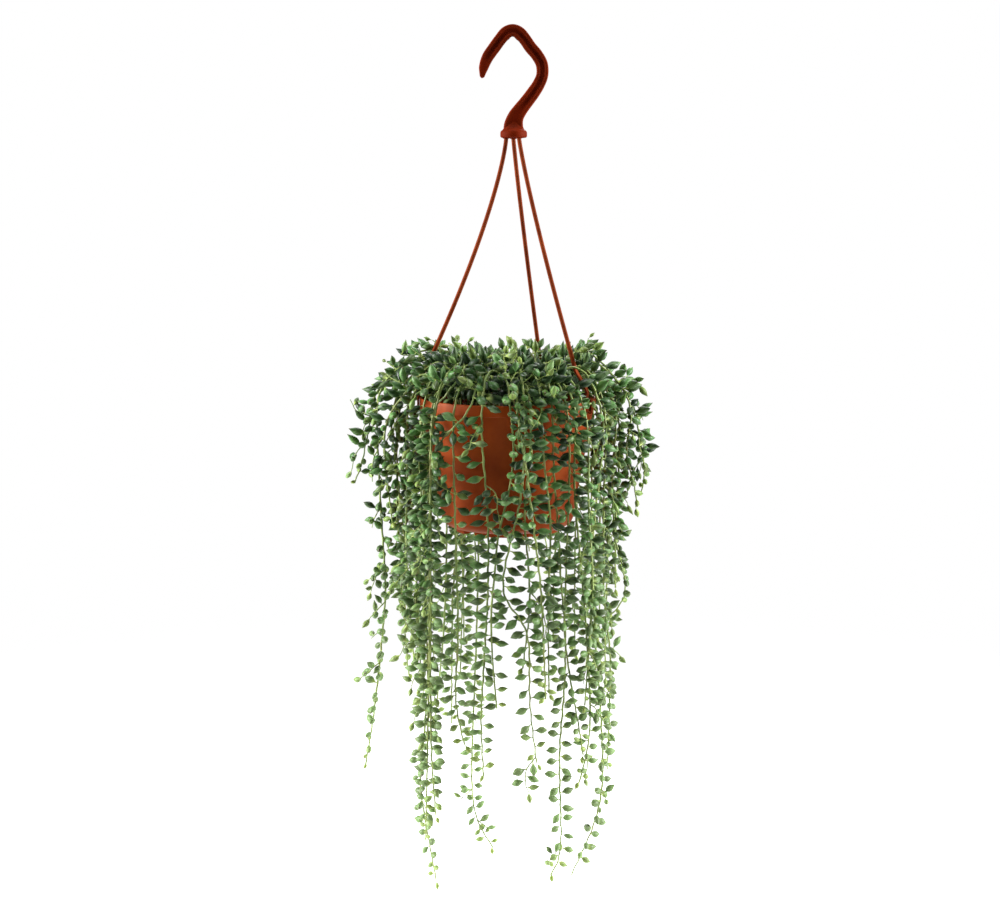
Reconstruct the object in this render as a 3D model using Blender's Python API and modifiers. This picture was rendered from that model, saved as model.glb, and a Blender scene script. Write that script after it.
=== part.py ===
# A trailing succulent, a string of beads with teardrop leaves, in its hanging pot.
# Metres, +Z up. The origin is the seat of the hook, the point that a rail or wire carries.
# Sizes are written in millimetres and multiplied by MM where they become geometry.

import math

import bmesh
import bpy
import numpy as np
from mathutils import Matrix, Vector

MM = 0.001
FULL_TURN = 2 * math.pi
GAP = 0.3

# Place of the pot under the hook's seat: the pot's axis, and the top of its rim
POT_AXIS_X = -3.5
RIM_TOP_Z = -300.0

# Pot, measured from the top of its rim
RIM_RADIUS = 75.0
RIM_BAND_HEIGHT = 9.5
RIM_BAND_STEP = 1.8
WALL = 1.6
WALL_TAPER = 0.18
POT_HEIGHT = 114.0
FLOOR_THICKNESS = 1.8
CORNER_RADIUS = 10.0
FOOT_HEIGHT = 3.5
FOOT_OUTER_RADIUS = 46.0
FOOT_INNER_RADIUS = 39.0
FOOT_NOTCHES = 4
FOOT_NOTCH_WIDTH = 13.0
DRAIN_HOLES = 6
DRAIN_HOLE_RADIUS = 4.0
DRAIN_CIRCLE_RADIUS = 26.0
POT_SEGMENTS = 36

# Soil
SOIL_DEPTH_BELOW_RIM = 11.0
SOIL_SEGMENTS = 32

# Hook: a flat hook with a groove along each face, on a round flange that holds the rods
HOOK_THICKNESS = 7.0
HOOK_EDGE_ROUNDING = 1.0
HOOK_GROOVE_WIDTH = 4.2
HOOK_GROOVE_DEPTH = 1.4
FLANGE_RADIUS = 11.2
FLANGE_HEIGHT = 6.8
FLANGE_X = 1.5
FLANGE_TOP_Z = -76.0
# Points of the hook's centre line: x, z and the hook's width there
HOOK_LINE = [
    (1.5, -79.0, 17.2),
    (1.4, -72.5, 16.0),
    (3.2, -65.8, 13.6),
    (7.0, -59.8, 12.0),
    (12.2, -53.2, 11.2),
    (17.2, -46.6, 11.0),
    (22.0, -39.4, 10.4),
    (25.2, -31.5, 10.0),
    (24.8, -22.6, 10.0),
    (20.7, -15.1, 10.0),
    (15.2, -8.7, 10.0),
    (10.8, -2.4, 10.0),
    (6.2, 2.8, 10.0),
    (0.6, 4.9, 10.0),
    (-5.0, 3.0, 10.0),
    (-9.1, -1.7, 10.0),
    (-15.1, -9.7, 10.0),
    (-20.2, -17.0, 9.6),
    (-23.4, -25.0, 8.0),
    (-25.0, -34.0, 5.0),
]
HOOK_STEP = 6.5

# Rods: each starts in a socket of the flange, bows outwards and ends in a clip over the rim
ROD_RADIUS = 1.8
ROD_CIRCLE_RADIUS = 6.2
ROD_SOCKET_DEPTH = 4.5
STRAP_WIDTH = 5.6
CLIP_WIDTH = 4.8
STRAP_THICKNESS = 1.8
STRAP_TOP_Z = 24.0
STRAP_KNEE_Z = 8.0
CLIP_LEG_DEPTH = 8.2
CLIP_BARB = 1.3
CLIP_EDGE = 0.8
RODS = {
    "rod_left": {"azimuth": 186.0, "socket_azimuth": 182.0, "strap_top_radius": 71.0, "bow": 1.33},
    "rod_back": {"azimuth": 61.5, "socket_azimuth": 92.0, "strap_top_radius": 62.0, "bow": 1.1},
    "rod_right": {"azimuth": -23.0, "socket_azimuth": -45.0, "strap_top_radius": 62.5, "bow": 1.15},
}

# Vines
STEM_RADIUS = 1.25
STEM_STEP = 5.0
STEM_ROOM = 6.5
STEM_REACH = 14.0
STEM_STIFFNESS = 0.12
POT_ROOM = 2.95
SETTLE_ROUNDS = 60
SETTLE_STEP = 1.5
ROOT_INNER_RADIUS = 14.0
ROOT_RING_STEP = 9.5
ROOT_LEAN_STEP = 9.0
CREST_INSET = 9.0
STEM_SAG = 0.8
LEAF_LENGTH = 12.5
LEAF_HALF_WIDTH = 3.0
LEAF_BASE = 3.2
ROOT_STUB = 0.6
CROWN_LEAF_SPACING = 30.0
HANGING_LEAF_SPACING = 52.0
FIRST_LEAF = 14.0
BARE_TIP = 6.0
YOUNG_LENGTH = 120.0
LEAF_TURN = 1.9
LEAF_TRIES = 12
# Balls that fill a leaf: each one's place along it and its radius, as shares of its length and half width
LEAF_BALLS = ((0.3, 0.9), (0.5, 1.0), (0.72, 0.75), (0.92, 0.35))

# Each hanging vine: the height of its crest over the rim, then points along it beyond the crest.
# A point is x, y from the pot's axis and the drop below the rim's top.
FRONT_VINES = [
    (23, [(-45, -74, 4), (-44, -74, 50), (-43, -74, 100),
          (-41, -73, 195), (-44, -73, 245), (-36, -72, 284)]),
    (31, [(-21, -84, 0), (-21, -85, 30), (-17, -85, 76),
          (-15, -84, 150), (-22, -83, 252), (-20, -82, 308)]),
    (27, [(-30, -86, 4), (-43, -81, 16), (-67, -60, 46),
          (-69, -57, 98), (-77, -52, 160), (-70, -52, 240)]),
    (20, [(-63, -64, 8), (-62, -66, 60), (-73, -61, 120), (-76, -59, 165), (-73, -58, 205)]),
    (35, [(-70, -52, 5), (-72, -53, 60), (-68, -52, 166),
          (-70, -52, 280), (-75, -52, 320), (-61, -50, 411)]),
    (25, [(-60, -70, 5), (-64, -70, 90), (-65, -70, 200), (-67, -70, 290), (-69, -69, 368)]),
    (33, [(-61, -76, 6), (-63, -76, 120), (-64, -76, 245), (-63, -76, 300), (-60, -76, 344)]),
    (26, [(2, -86, 0), (5, -87, 24), (4, -87, 50), (-1, -87, 78), (-9, -86, 106),
          (-12, -86, 140), (-15, -86, 177), (-9, -86, 249)]),
    (30, [(12, -90, 6), (13, -90, 50), (10, -89, 78), (2, -88, 110), (-4, -87, 136),
          (-6, -86, 156), (4, -87, 168), (16, -88, 178), (18, -86, 245), (24, -84, 296)]),
    (21, [(19, -84, 4), (18, -84, 40), (13, -84, 85), (17, -84, 130), (18, -84, 165), (13, -84, 216)]),
    (29, [(27, -81, 4), (29, -82, 45), (35, -82, 95), (33, -82, 160), (34, -82, 237)]),
    (36, [(36, -77, 0), (37, -77, 50), (42, -76, 112), (48, -76, 212),
          (43, -75, 290), (45, -75, 380), (36, -74, 397)]),
    (24, [(49, -73, 6), (50, -73, 76), (47, -73, 145), (48, -73, 205), (60, -72, 272), (63, -72, 293)]),
    (19, [(56, -67, 4), (54, -68, 60), (61, -68, 140), (66, -67, 200), (69, -67, 275), (60, -66, 319)]),
    (32, [(76, -44, 0), (80, -44, 26), (72, -44, 105), (72, -44, 170),
          (81, -43, 300), (77, -43, 355), (55, -42, 409)]),
    (23, [(10, -92, 12), (20, -93, 90), (27, -92, 150), (31, -91, 240)]),
    (27, [(64, -72, 8), (66, -74, 90), (70, -73, 150), (64, -73, 250)]),
    (37, [(-38, -68, -18), (-57, -60, -7), (-68, -62, 12), (-73, -66, 40), (-71, -67, 74)]),
]
RIGHT_VINES = [
    (29, [(82, -28, 10), (81, -28, 84), (82, -28, 170), (88, -27, 222), (86, -26, 320)]),
    (25, [(92, -12, 8), (89, -12, 60), (92, -12, 124),
          (103, -12, 158), (101, -12, 178), (88, -12, 188)]),
    (34, [(96, -6, -12), (106, -8, 8), (105, -8, 28), (98, -8, 46), (111, -7, 78), (110, -7, 94)]),
    (40, [(103, 7, 0), (111, 6, 22), (116, 5, 48), (120, 5, 72), (115, 5, 84)]),
    (21, [(92, 6, 4), (97, 8, 40), (94, 9, 100), (94, 9, 168)]),
    (31, [(86, 22, 6), (88, 22, 120), (86, 22, 230), (88, 22, 262)]),
]
LEFT_VINES = [
    (38, [(-108, -5, -11), (-111, -5, 30), (-107, -5, 126),
          (-105, -5, 170), (-115, -5, 268), (-124, -5, 323)]),
    (42, [(-112, 9, -8), (-117, 9, 18), (-122, 9, 42), (-126, 9, 64), (-132, 9, 76)]),
    (30, [(-97, -14, 2), (-98, -14, 28), (-91, -14, 90), (-86, -14, 150), (-89, -14, 182)]),
    (22, [(-84, -28, 4), (-84, -28, 64), (-86, -28, 126), (-80, -27, 224)]),
    (34, [(-74, -36, -20), (-92, -32, 2), (-104, -25, 20), (-102, -24, 64), (-97, -24, 108)]),
    (26, [(-92, 4, 4), (-95, 6, 90), (-92, 6, 150), (-93, 6, 190)]),
    (33, [(-86, 24, 6), (-89, 24, 120), (-90, 24, 216), (-87, 24, 250)]),
]
# Vines that hang from the back of the rim and show below the pot
FAR_VINES = [
    (26, [(-52, 72, 8), (-54, 72, 80), (-55, 71, 160), (-58, 70, 227), (-66, 70, 306)]),
    (30, [(-42, 77, 6), (-43, 78, 90), (-47, 78, 160), (-50, 78, 200), (-51, 78, 310)]),
    (22, [(-34, 88, 8), (-37, 88, 70), (-38, 88, 132), (-41, 88, 200), (-43, 88, 267)]),
    (34, [(-25, 80, 4), (-26, 80, 148), (-28, 80, 232), (-32, 79, 384), (-13, 78, 429)]),
]
CROWN_SHOOTS = [
    {"azimuth": 100, "sweep": -70, "reach": 66, "height": 38},
    {"azimuth": 200, "sweep": 80, "reach": 74, "height": 35},
    {"azimuth": 320, "sweep": -60, "reach": 62, "height": 41},
    {"azimuth": 20, "sweep": 70, "reach": 78, "height": 36},
    {"azimuth": 255, "sweep": -75, "reach": 52, "height": 43},
]
BACK_VINE_COUNT = 13
BACK_FIRST_AZIMUTH = 29.0
BACK_LAST_AZIMUTH = 151.0
BACK_LAYER_RADII = (86.0, 98.0, 110.0)
BACK_SHORT_DROP = 125.0
BACK_LONG_DROP = 290.0
BACK_DROP_SPREAD = 30.0
BACK_SEED = 11
LEAF_SEED = 23


def clear_scene():
    for obj in list(bpy.data.objects):
        bpy.data.objects.remove(obj, do_unlink=True)


def make_material(name, colour, roughness):
    made = bpy.data.materials.new(name)
    made.use_nodes = True
    shader = made.node_tree.nodes["Principled BSDF"]
    shader.inputs["Base Color"].default_value = (*colour, 1.0)
    shader.inputs["Roughness"].default_value = roughness
    shader.inputs["Metallic"].default_value = 0.0
    return made


def add_object(name, data, home, parent=None, made_of=None):
    obj = bpy.data.objects.new(name, data)
    home.objects.link(obj)
    obj.parent = parent
    if made_of:
        data.materials.append(made_of)
    return obj


def mesh_from(shape, name):
    mesh = bpy.data.meshes.new(name)
    shape.to_mesh(mesh)
    shape.free()
    return mesh


def polar(radius, azimuth, height=0.0):
    turn = math.radians(azimuth)
    return np.array([radius * math.cos(turn), radius * math.sin(turn), height])


def arc(centre, radius, start, end, count):
    """Points in the plane of a turned profile, from one angle to another."""
    turns = np.radians(np.linspace(start, end, count))
    return [(centre[0] + radius * math.cos(t), centre[1] + radius * math.sin(t)) for t in turns]


def add_turned(name, profile, steps, home, parent, made_of):
    """A solid of revolution from (radius, height) points that run down its outer side."""
    shape = bmesh.new()
    corners = [shape.verts.new((radius * MM, 0.0, height * MM)) for radius, height in profile]
    for first, second in zip(corners, corners[1:]):
        shape.edges.new((first, second))
    obj = add_object(name, mesh_from(shape, name), home, parent, made_of)
    screw = obj.modifiers.new("Turn", "SCREW")
    screw.steps = steps
    screw.render_steps = steps
    screw.use_merge_vertices = True
    screw.merge_threshold = 0.00002
    screw.use_smooth_shade = True
    return obj


def add_cylinder(name, radius, depth, centre, home, parent=None, segments=20):
    shape = bmesh.new()
    bmesh.ops.create_cone(
        shape, cap_ends=True, segments=segments, radius1=radius * MM, radius2=radius * MM, depth=depth * MM
    )
    bmesh.ops.translate(shape, verts=shape.verts, vec=Vector(centre) * MM)
    return add_object(name, mesh_from(shape, name), home, parent)


def add_box(name, size, centre, azimuth, home, parent=None):
    shape = bmesh.new()
    bmesh.ops.create_cube(shape, size=1.0)
    bmesh.ops.scale(shape, verts=shape.verts, vec=Vector(size) * MM)
    obj = add_object(name, mesh_from(shape, name), home, parent)
    obj.location = Vector(centre) * MM
    obj.rotation_euler.z = math.radians(azimuth)
    return obj


def as_cutter(obj):
    obj.hide_render = True
    obj.display_type = "WIRE"
    return obj


def combine(obj, other, operation):
    step = obj.modifiers.new(operation.title(), "BOOLEAN")
    step.operation = operation
    step.object = as_cutter(other)


def add_plate(name, outline, thickness, rounding, home, parent=None):
    """A flat plate in the XZ plane, centred on Y = 0, from a closed outline."""
    curve = bpy.data.curves.new(name + "_outline", "CURVE")
    curve.dimensions = "2D"
    curve.fill_mode = "BOTH"
    curve.extrude = (thickness / 2 - rounding) * MM
    curve.bevel_depth = rounding * MM
    curve.bevel_resolution = 1
    spline = curve.splines.new("POLY")
    spline.points.add(len(outline) - 1)
    for point, (x, z) in zip(spline.points, outline):
        point.co = (x * MM, z * MM, 0.0, 1.0)
    spline.use_cyclic_u = True
    flat = add_object(name + "_flat", curve, home)
    flat.rotation_euler.x = math.radians(90)
    return as_mesh(flat, name, home, parent)


def as_mesh(source, name, home, parent=None):
    """The mesh of a curve object, with its caps welded to its sides."""
    bpy.context.view_layer.update()
    graph = bpy.context.evaluated_depsgraph_get()
    mesh = bpy.data.meshes.new_from_object(source.evaluated_get(graph))
    shape = bmesh.new()
    shape.from_mesh(mesh)
    bmesh.ops.transform(shape, matrix=source.matrix_world, verts=shape.verts)
    bmesh.ops.remove_doubles(shape, verts=shape.verts, dist=0.00001)
    bmesh.ops.recalc_face_normals(shape, faces=shape.faces)
    shape.to_mesh(mesh)
    shape.free()
    mesh.materials.clear()
    bpy.data.objects.remove(source, do_unlink=True)
    return add_object(name, mesh, home, parent)


def wall_radius(drop):
    """The pot's outer radius at a drop below the rim's top."""
    if drop < RIM_BAND_HEIGHT:
        return RIM_RADIUS
    return RIM_RADIUS - RIM_BAND_STEP - WALL_TAPER * (drop - RIM_BAND_HEIGHT)


def build_pot(home, cutters, parent, made_of):
    floor_drop = POT_HEIGHT - FOOT_HEIGHT
    corner = wall_radius(floor_drop - CORNER_RADIUS) - CORNER_RADIUS
    lean = math.degrees(math.atan(WALL_TAPER))
    inner_corner = CORNER_RADIUS - WALL
    outside = [
        (RIM_RADIUS - 0.8, 0.0),
        (RIM_RADIUS, -0.8),
        (RIM_RADIUS, -RIM_BAND_HEIGHT + 0.6),
        (RIM_RADIUS - 0.6, -RIM_BAND_HEIGHT),
        (RIM_RADIUS - RIM_BAND_STEP, -RIM_BAND_HEIGHT),
    ]
    centre = (corner, -(floor_drop - CORNER_RADIUS))
    outside += arc(centre, CORNER_RADIUS, -lean, -90.0, 4)
    outside += [
        (FOOT_OUTER_RADIUS + 0.5, -floor_drop),
        (FOOT_OUTER_RADIUS, -POT_HEIGHT),
        (FOOT_INNER_RADIUS, -POT_HEIGHT),
        (FOOT_INNER_RADIUS - 0.5, -floor_drop),
        (0.0, -floor_drop),
    ]
    inside = [(0.0, -(floor_drop - FLOOR_THICKNESS))]
    inside += arc((corner, centre[1] + FLOOR_THICKNESS - WALL), inner_corner, -90.0, -lean, 3)
    inside += [
        (RIM_RADIUS - RIM_BAND_STEP - WALL, -RIM_BAND_HEIGHT),
        (RIM_RADIUS - WALL, -RIM_BAND_HEIGHT + 1.2),
        (RIM_RADIUS - WALL, -0.5),
        (RIM_RADIUS - WALL + 0.4, 0.0),
    ]
    pot = add_turned("pot", inside + outside, POT_SEGMENTS, home, parent, made_of)
    for hole in range(DRAIN_HOLES):
        place = polar(DRAIN_CIRCLE_RADIUS, 360 * hole / DRAIN_HOLES, -floor_drop)
        drill = add_cylinder(f"drain_{hole}", DRAIN_HOLE_RADIUS, 12.0, place, cutters, parent)
        combine(pot, drill, "DIFFERENCE")
    middle = (FOOT_OUTER_RADIUS + FOOT_INNER_RADIUS) / 2
    for notch in range(FOOT_NOTCHES):
        azimuth = 45 + 360 * notch / FOOT_NOTCHES
        size = (18.0, FOOT_NOTCH_WIDTH, 2 * (FOOT_HEIGHT - 0.4))
        bar = add_box(f"notch_{notch}", size, polar(middle, azimuth, -POT_HEIGHT), azimuth, cutters, parent)
        combine(pot, bar, "DIFFERENCE")
    return pot


def build_soil(home, parent, made_of):
    floor_drop = POT_HEIGHT - FOOT_HEIGHT - FLOOR_THICKNESS
    low = floor_drop - CORNER_RADIUS
    side = WALL + 2 * GAP
    profile = [
        (0.0, -SOIL_DEPTH_BELOW_RIM),
        (wall_radius(SOIL_DEPTH_BELOW_RIM) - side, -SOIL_DEPTH_BELOW_RIM),
        (wall_radius(low) - side, -low),
        (wall_radius(low) - side - 0.45 * CORNER_RADIUS, -(floor_drop - 0.35 * CORNER_RADIUS)),
        (wall_radius(low) - side - CORNER_RADIUS, -(floor_drop - GAP)),
        (0.0, -(floor_drop - GAP)),
    ]
    return add_turned("soil", profile, SOIL_SEGMENTS, home, parent, made_of)


def smooth_line(points, step):
    """Points at an even step along a Catmull-Rom curve through the given ones."""
    points = np.asarray(points, float)
    ends = np.vstack([2 * points[0] - points[1], points, 2 * points[-1] - points[-2]])
    share = np.linspace(0, 1, 24, endpoint=False)[:, None]
    fine = []
    for a, b, c, d in zip(ends, ends[1:], ends[2:], ends[3:]):
        bend = 2 * b + (c - a) * share + (2 * a - 5 * b + 4 * c - d) * share**2
        fine.append((bend + (3 * b - a - 3 * c + d) * share**3) / 2)
    fine = np.vstack([*fine, points[-1:]])
    run = np.concatenate([[0], np.cumsum(np.linalg.norm(np.diff(fine, axis=0), axis=1))])
    stops = np.linspace(0, run[-1], max(3, round(run[-1] / step) + 1))
    return np.column_stack([np.interp(stops, run, fine[:, axis]) for axis in range(fine.shape[1])])


def band_outline(line, widths):
    """The outline of a flat band of changing width along a line in a plane."""
    along = np.gradient(line, axis=0)
    along /= np.linalg.norm(along, axis=1)[:, None]
    across = np.column_stack([-along[:, 1], along[:, 0]]) * widths[:, None] / 2
    return np.vstack([line + across, (line - across)[::-1]])


def build_hook(home, cutters, made_of):
    line = smooth_line(HOOK_LINE, HOOK_STEP)
    line, widths = line[:, :2], line[:, 2]
    hook = add_plate("hook", band_outline(line, widths), HOOK_THICKNESS, HOOK_EDGE_ROUNDING, home)
    hook.data.materials.append(made_of)
    inner = line[2:-2]
    groove = band_outline(inner, np.full(len(inner), HOOK_GROOVE_WIDTH))
    for side in (-1, 1):
        cutter = add_plate(f"groove_{side + 1}", groove, 2 * HOOK_GROOVE_DEPTH, 0.0, cutters)
        cutter.location.y = side * HOOK_THICKNESS / 2 * MM
        combine(hook, cutter, "DIFFERENCE")
    middle = (FLANGE_X, 0.0, FLANGE_TOP_Z - FLANGE_HEIGHT / 2)
    flange = add_cylinder("flange", FLANGE_RADIUS, FLANGE_HEIGHT, middle, cutters, segments=32)
    combine(hook, flange, "UNION")
    bottom = FLANGE_TOP_Z - FLANGE_HEIGHT
    for number, rod in enumerate(RODS.values()):
        place = polar(ROD_CIRCLE_RADIUS, rod["socket_azimuth"]) + (FLANGE_X, 0.0, bottom)
        socket = add_cylinder(
            f"socket_{number}", ROD_RADIUS + GAP, 2 * ROD_SOCKET_DEPTH, place, cutters, segments=12
        )
        combine(hook, socket, "DIFFERENCE")
    return hook


def rod_line(azimuth, socket_azimuth, strap_top_radius, bow):
    """A rod's centre line from its socket to its strap, from the rim's centre, leaning out as it drops."""
    top = polar(ROD_CIRCLE_RADIUS, socket_azimuth) + (FLANGE_X - POT_AXIS_X, 0.0, 0.0)
    top[2] = FLANGE_TOP_Z - FLANGE_HEIGHT - RIM_TOP_Z
    foot = polar(strap_top_radius + 1.0, azimuth, STRAP_TOP_Z - 5.0)
    shares = np.linspace(0.0, 1.0, 12)
    line = [top + (0, 0, ROD_SOCKET_DEPTH - GAP)]
    for share in shares:
        place = top + (foot - top) * share
        place[:2] = top[:2] + (foot - top)[:2] * share**bow
        line.append(place)
    return np.array(line)


def strap_outline(strap_top_radius):
    """The flat strap that leans down inside the rim, thicker than a knife edge all along."""
    inner = RIM_RADIUS - WALL - 2 * GAP
    return [
        (strap_top_radius - STRAP_THICKNESS / 2, STRAP_TOP_Z),
        (strap_top_radius + STRAP_THICKNESS / 2, STRAP_TOP_Z),
        (inner, STRAP_KNEE_Z),
        (inner, -CLIP_LEG_DEPTH),
        (inner - STRAP_THICKNESS, -CLIP_LEG_DEPTH),
        (inner - STRAP_THICKNESS, STRAP_KNEE_Z),
    ]


def rim_clip_outline():
    """The hook that passes over the rim and catches under its band."""
    inner = RIM_RADIUS - WALL - 2 * GAP
    outer = RIM_RADIUS + GAP
    under = -RIM_BAND_HEIGHT - GAP
    barb = RIM_RADIUS - CLIP_BARB
    top = GAP + STRAP_THICKNESS
    return [
        (inner - 1.0, GAP),
        (outer, GAP),
        (outer, under),
        (barb, under),
        (barb, under - CLIP_EDGE),
        (outer + CLIP_EDGE, under - STRAP_THICKNESS),
        (outer + STRAP_THICKNESS, under - CLIP_EDGE),
        (outer + STRAP_THICKNESS, top - CLIP_EDGE),
        (outer + STRAP_THICKNESS - CLIP_EDGE, top),
        (inner - 1.0, top),
    ]


def build_rod(name, rod_place, home, cutters, parent, made_of):
    line = rod_line(**rod_place)
    curve = bpy.data.curves.new(name + "_line", "CURVE")
    curve.dimensions = "3D"
    curve.bevel_depth = ROD_RADIUS * MM
    curve.bevel_resolution = 2
    curve.use_fill_caps = True
    spline = curve.splines.new("POLY")
    spline.points.add(len(line) - 1)
    for point, place in zip(spline.points, line):
        point.co = (*(place * MM), 1.0)
    rod = as_mesh(add_object(name + "_curve", curve, home), name, home, parent)
    rod.data.materials.append(made_of)
    strap = strap_outline(rod_place["strap_top_radius"])
    pieces = (("strap", strap, STRAP_WIDTH), ("clip", rim_clip_outline(), CLIP_WIDTH))
    for label, outline, width in pieces:
        piece = add_plate(f"{name}_{label}", outline, width, 0.0, cutters, parent)
        piece.rotation_euler.z = math.radians(rod_place["azimuth"])
        combine(rod, piece, "UNION")
    return rod


def crown_points(first, crest, index):
    """The hidden start of a hanging vine: rooted in the soil, up to its crest and out to the rim."""
    azimuth = math.degrees(math.atan2(first[1], first[0]))
    reach = math.hypot(first[0], first[1])
    root_radius = ROOT_INNER_RADIUS + ROOT_RING_STEP * (index * 7 % 5)
    lean = ROOT_LEAN_STEP * (index * 5 % 7 - 3)
    out = min(reach, RIM_RADIUS + 4.0)
    return [
        polar(root_radius, azimuth + lean, GAP - SOIL_DEPTH_BELOW_RIM),
        polar(root_radius + 3.0, azimuth + lean, 0.15 * crest),
        polar(0.55 * root_radius + 0.42 * out, azimuth + 0.4 * lean, 0.85 * crest),
        polar(out - CREST_INSET, azimuth, crest),
    ]


def hanging_vine(crest, hanging, index):
    points = crown_points(hanging[0], crest, index)
    points += [np.array([x, y, -drop], float) for x, y, drop in hanging]
    return smooth_line(points, STEM_STEP)


def back_rows():
    """Rows like those of the front vines, spread evenly round the back and longest at its two sides."""
    draw = np.random.default_rng(BACK_SEED)
    rows = []
    for index, azimuth in enumerate(np.linspace(BACK_FIRST_AZIMUTH, BACK_LAST_AZIMUTH, BACK_VINE_COUNT)):
        radius = BACK_LAYER_RADII[index * 2 % 3]
        to_side = abs(math.cos(math.radians(azimuth)))
        drop = BACK_SHORT_DROP + (BACK_LONG_DROP - BACK_SHORT_DROP) * to_side
        drop += draw.uniform(-BACK_DROP_SPREAD, BACK_DROP_SPREAD)
        hanging = []
        for share in (0.0, 0.3, 0.55, 0.8, 1.0):
            sway = polar(draw.uniform(-5, 5) * share, azimuth + 90)
            place = polar(radius - 3 * share, azimuth) + sway
            hanging.append((place[0], place[1], 5 + (drop - 5) * share))
        rows.append((12 + index * 5 % 19, hanging))
    return rows


def crown_shoot(azimuth, sweep, reach, height):
    """A short shoot that winds over the crown and ends in a lifted tip."""
    points = [polar(12.0, azimuth, GAP - SOIL_DEPTH_BELOW_RIM), polar(14.0, azimuth, 8.0)]
    for share in (0.35, 0.6, 0.85, 1.0):
        lift = height * (1 - (0.9 - share) ** 2)
        points.append(polar(12.0 + (reach - 12.0) * share, azimuth + sweep * share, lift))
    return smooth_line(points, STEM_STEP)


def stem_lines():
    """Every vine's name and route, in millimetres from the rim's centre."""
    back = FAR_VINES + back_rows()
    groups = (("front", FRONT_VINES), ("right", RIGHT_VINES), ("left", LEFT_VINES), ("back", back))
    lines = {}
    for side, rows in groups:
        for number, (crest, hanging) in enumerate(rows, 1):
            lines[f"vine_{side}_{number:02d}"] = hanging_vine(crest, hanging, len(lines))
    for number, shoot in enumerate(CROWN_SHOOTS, 1):
        lines[f"crown_shoot_{number:02d}"] = crown_shoot(**shoot)
    return lines


def fixed_points():
    """Points of the rods and clips, which the stems and leaves keep clear of."""
    points = []
    middle = RIM_RADIUS - WALL - 2 * GAP - STRAP_THICKNESS / 2
    outer = RIM_RADIUS + GAP + STRAP_THICKNESS / 2
    clip = [(middle, 1.0), (outer, 1.0), (outer, -RIM_BAND_HEIGHT - 2.0)]
    for rod in RODS.values():
        azimuth = rod["azimuth"]
        points.append(smooth_line(rod_line(**rod), 4.0))
        strap = [(rod["strap_top_radius"], STRAP_TOP_Z), (middle, STRAP_KNEE_Z), (middle, -CLIP_LEG_DEPTH)]
        for line in (smooth_line(strap, 3.0), smooth_line(clip, 3.0)):
            for side in (-0.3 * STRAP_WIDTH, 0.3 * STRAP_WIDTH):
                across = polar(side, azimuth + 90)
                points.append(np.array([polar(r, azimuth, z) + across for r, z in line]))
    return np.vstack(points)


def keep_off_pot(points, room):
    """Moves points out of the room that the pot and soil need."""
    radius = np.hypot(points[:, 0], points[:, 1])
    height = points[:, 2]
    drop = -height
    wall = np.where(
        drop < RIM_BAND_HEIGHT + 2.0,
        RIM_RADIUS,
        RIM_RADIUS - RIM_BAND_STEP - WALL_TAPER * (drop - RIM_BAND_HEIGHT),
    )
    target = radius.copy()
    outside = (height < 0) & (drop < POT_HEIGHT + 2) & (radius > RIM_RADIUS - 1.5 * WALL - RIM_BAND_STEP)
    outside |= (drop > SOIL_DEPTH_BELOW_RIM + 2) & (drop < POT_HEIGHT + 2)
    target = np.where(outside, np.maximum(radius, wall + room), target)
    inside = (height < 0) & (drop < SOIL_DEPTH_BELOW_RIM + 2) & ~outside
    target = np.where(inside, np.minimum(radius, RIM_RADIUS - WALL - RIM_BAND_STEP - room), target)
    over = height >= 0
    lip = RIM_RADIUS - WALL / 2
    far = np.hypot(radius - lip, height)
    scale = np.where(over & (far < room + 1), (room + 1) / np.maximum(far, 0.1), 1.0)
    target = np.where(over, lip + (radius - lip) * scale, target)
    lifted = np.where(over, height * scale, height)
    soil = -SOIL_DEPTH_BELOW_RIM + STEM_RADIUS + GAP
    lifted = np.where(inside, np.maximum(lifted, soil), lifted)
    factor = target / np.maximum(radius, 0.1)
    return np.column_stack([points[:, 0] * factor, points[:, 1] * factor, lifted])


def settle(lines):
    """Lets the stems push each other apart until each has room, off the pot, soil and rods."""
    names = list(lines)
    owner = np.concatenate([np.full(len(lines[name]), number) for number, name in enumerate(names)])
    spot = np.concatenate([np.arange(len(lines[name])) for name in names])
    points = np.vstack([lines[name] for name in names])
    root = spot == 0
    tip = np.append(root[1:], True)
    inner = np.flatnonzero(~root & ~tip)
    fixed = fixed_points()
    count = len(points)
    everything = np.vstack([points, fixed])
    for turn in range(SETTLE_ROUNDS):
        if turn % 10 == 0:
            pairs = near_pairs(points, everything[count:], owner, spot)
        everything[:count] = points
        first, second = pairs
        apart = everything[first] - everything[second]
        far = np.maximum(np.linalg.norm(apart, axis=1), 0.05)
        push = np.where(far < STEM_ROOM, (STEM_ROOM - far) / far / 2, 0.0)[:, None] * apart
        moved = np.zeros_like(everything)
        np.add.at(moved, first, push)
        np.add.at(moved, second, -push)
        moved = moved[:count]
        size = np.maximum(np.linalg.norm(moved, axis=1), SETTLE_STEP)[:, None]
        points = points + moved * SETTLE_STEP / size
        points[inner] += STEM_STIFFNESS * ((points[inner - 1] + points[inner + 1]) / 2 - points[inner])
        points = keep_off_pot(points, POT_ROOM)
        points[root, 2] = GAP - SOIL_DEPTH_BELOW_RIM
    return {name: points[owner == number] for number, name in enumerate(names)}


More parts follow.
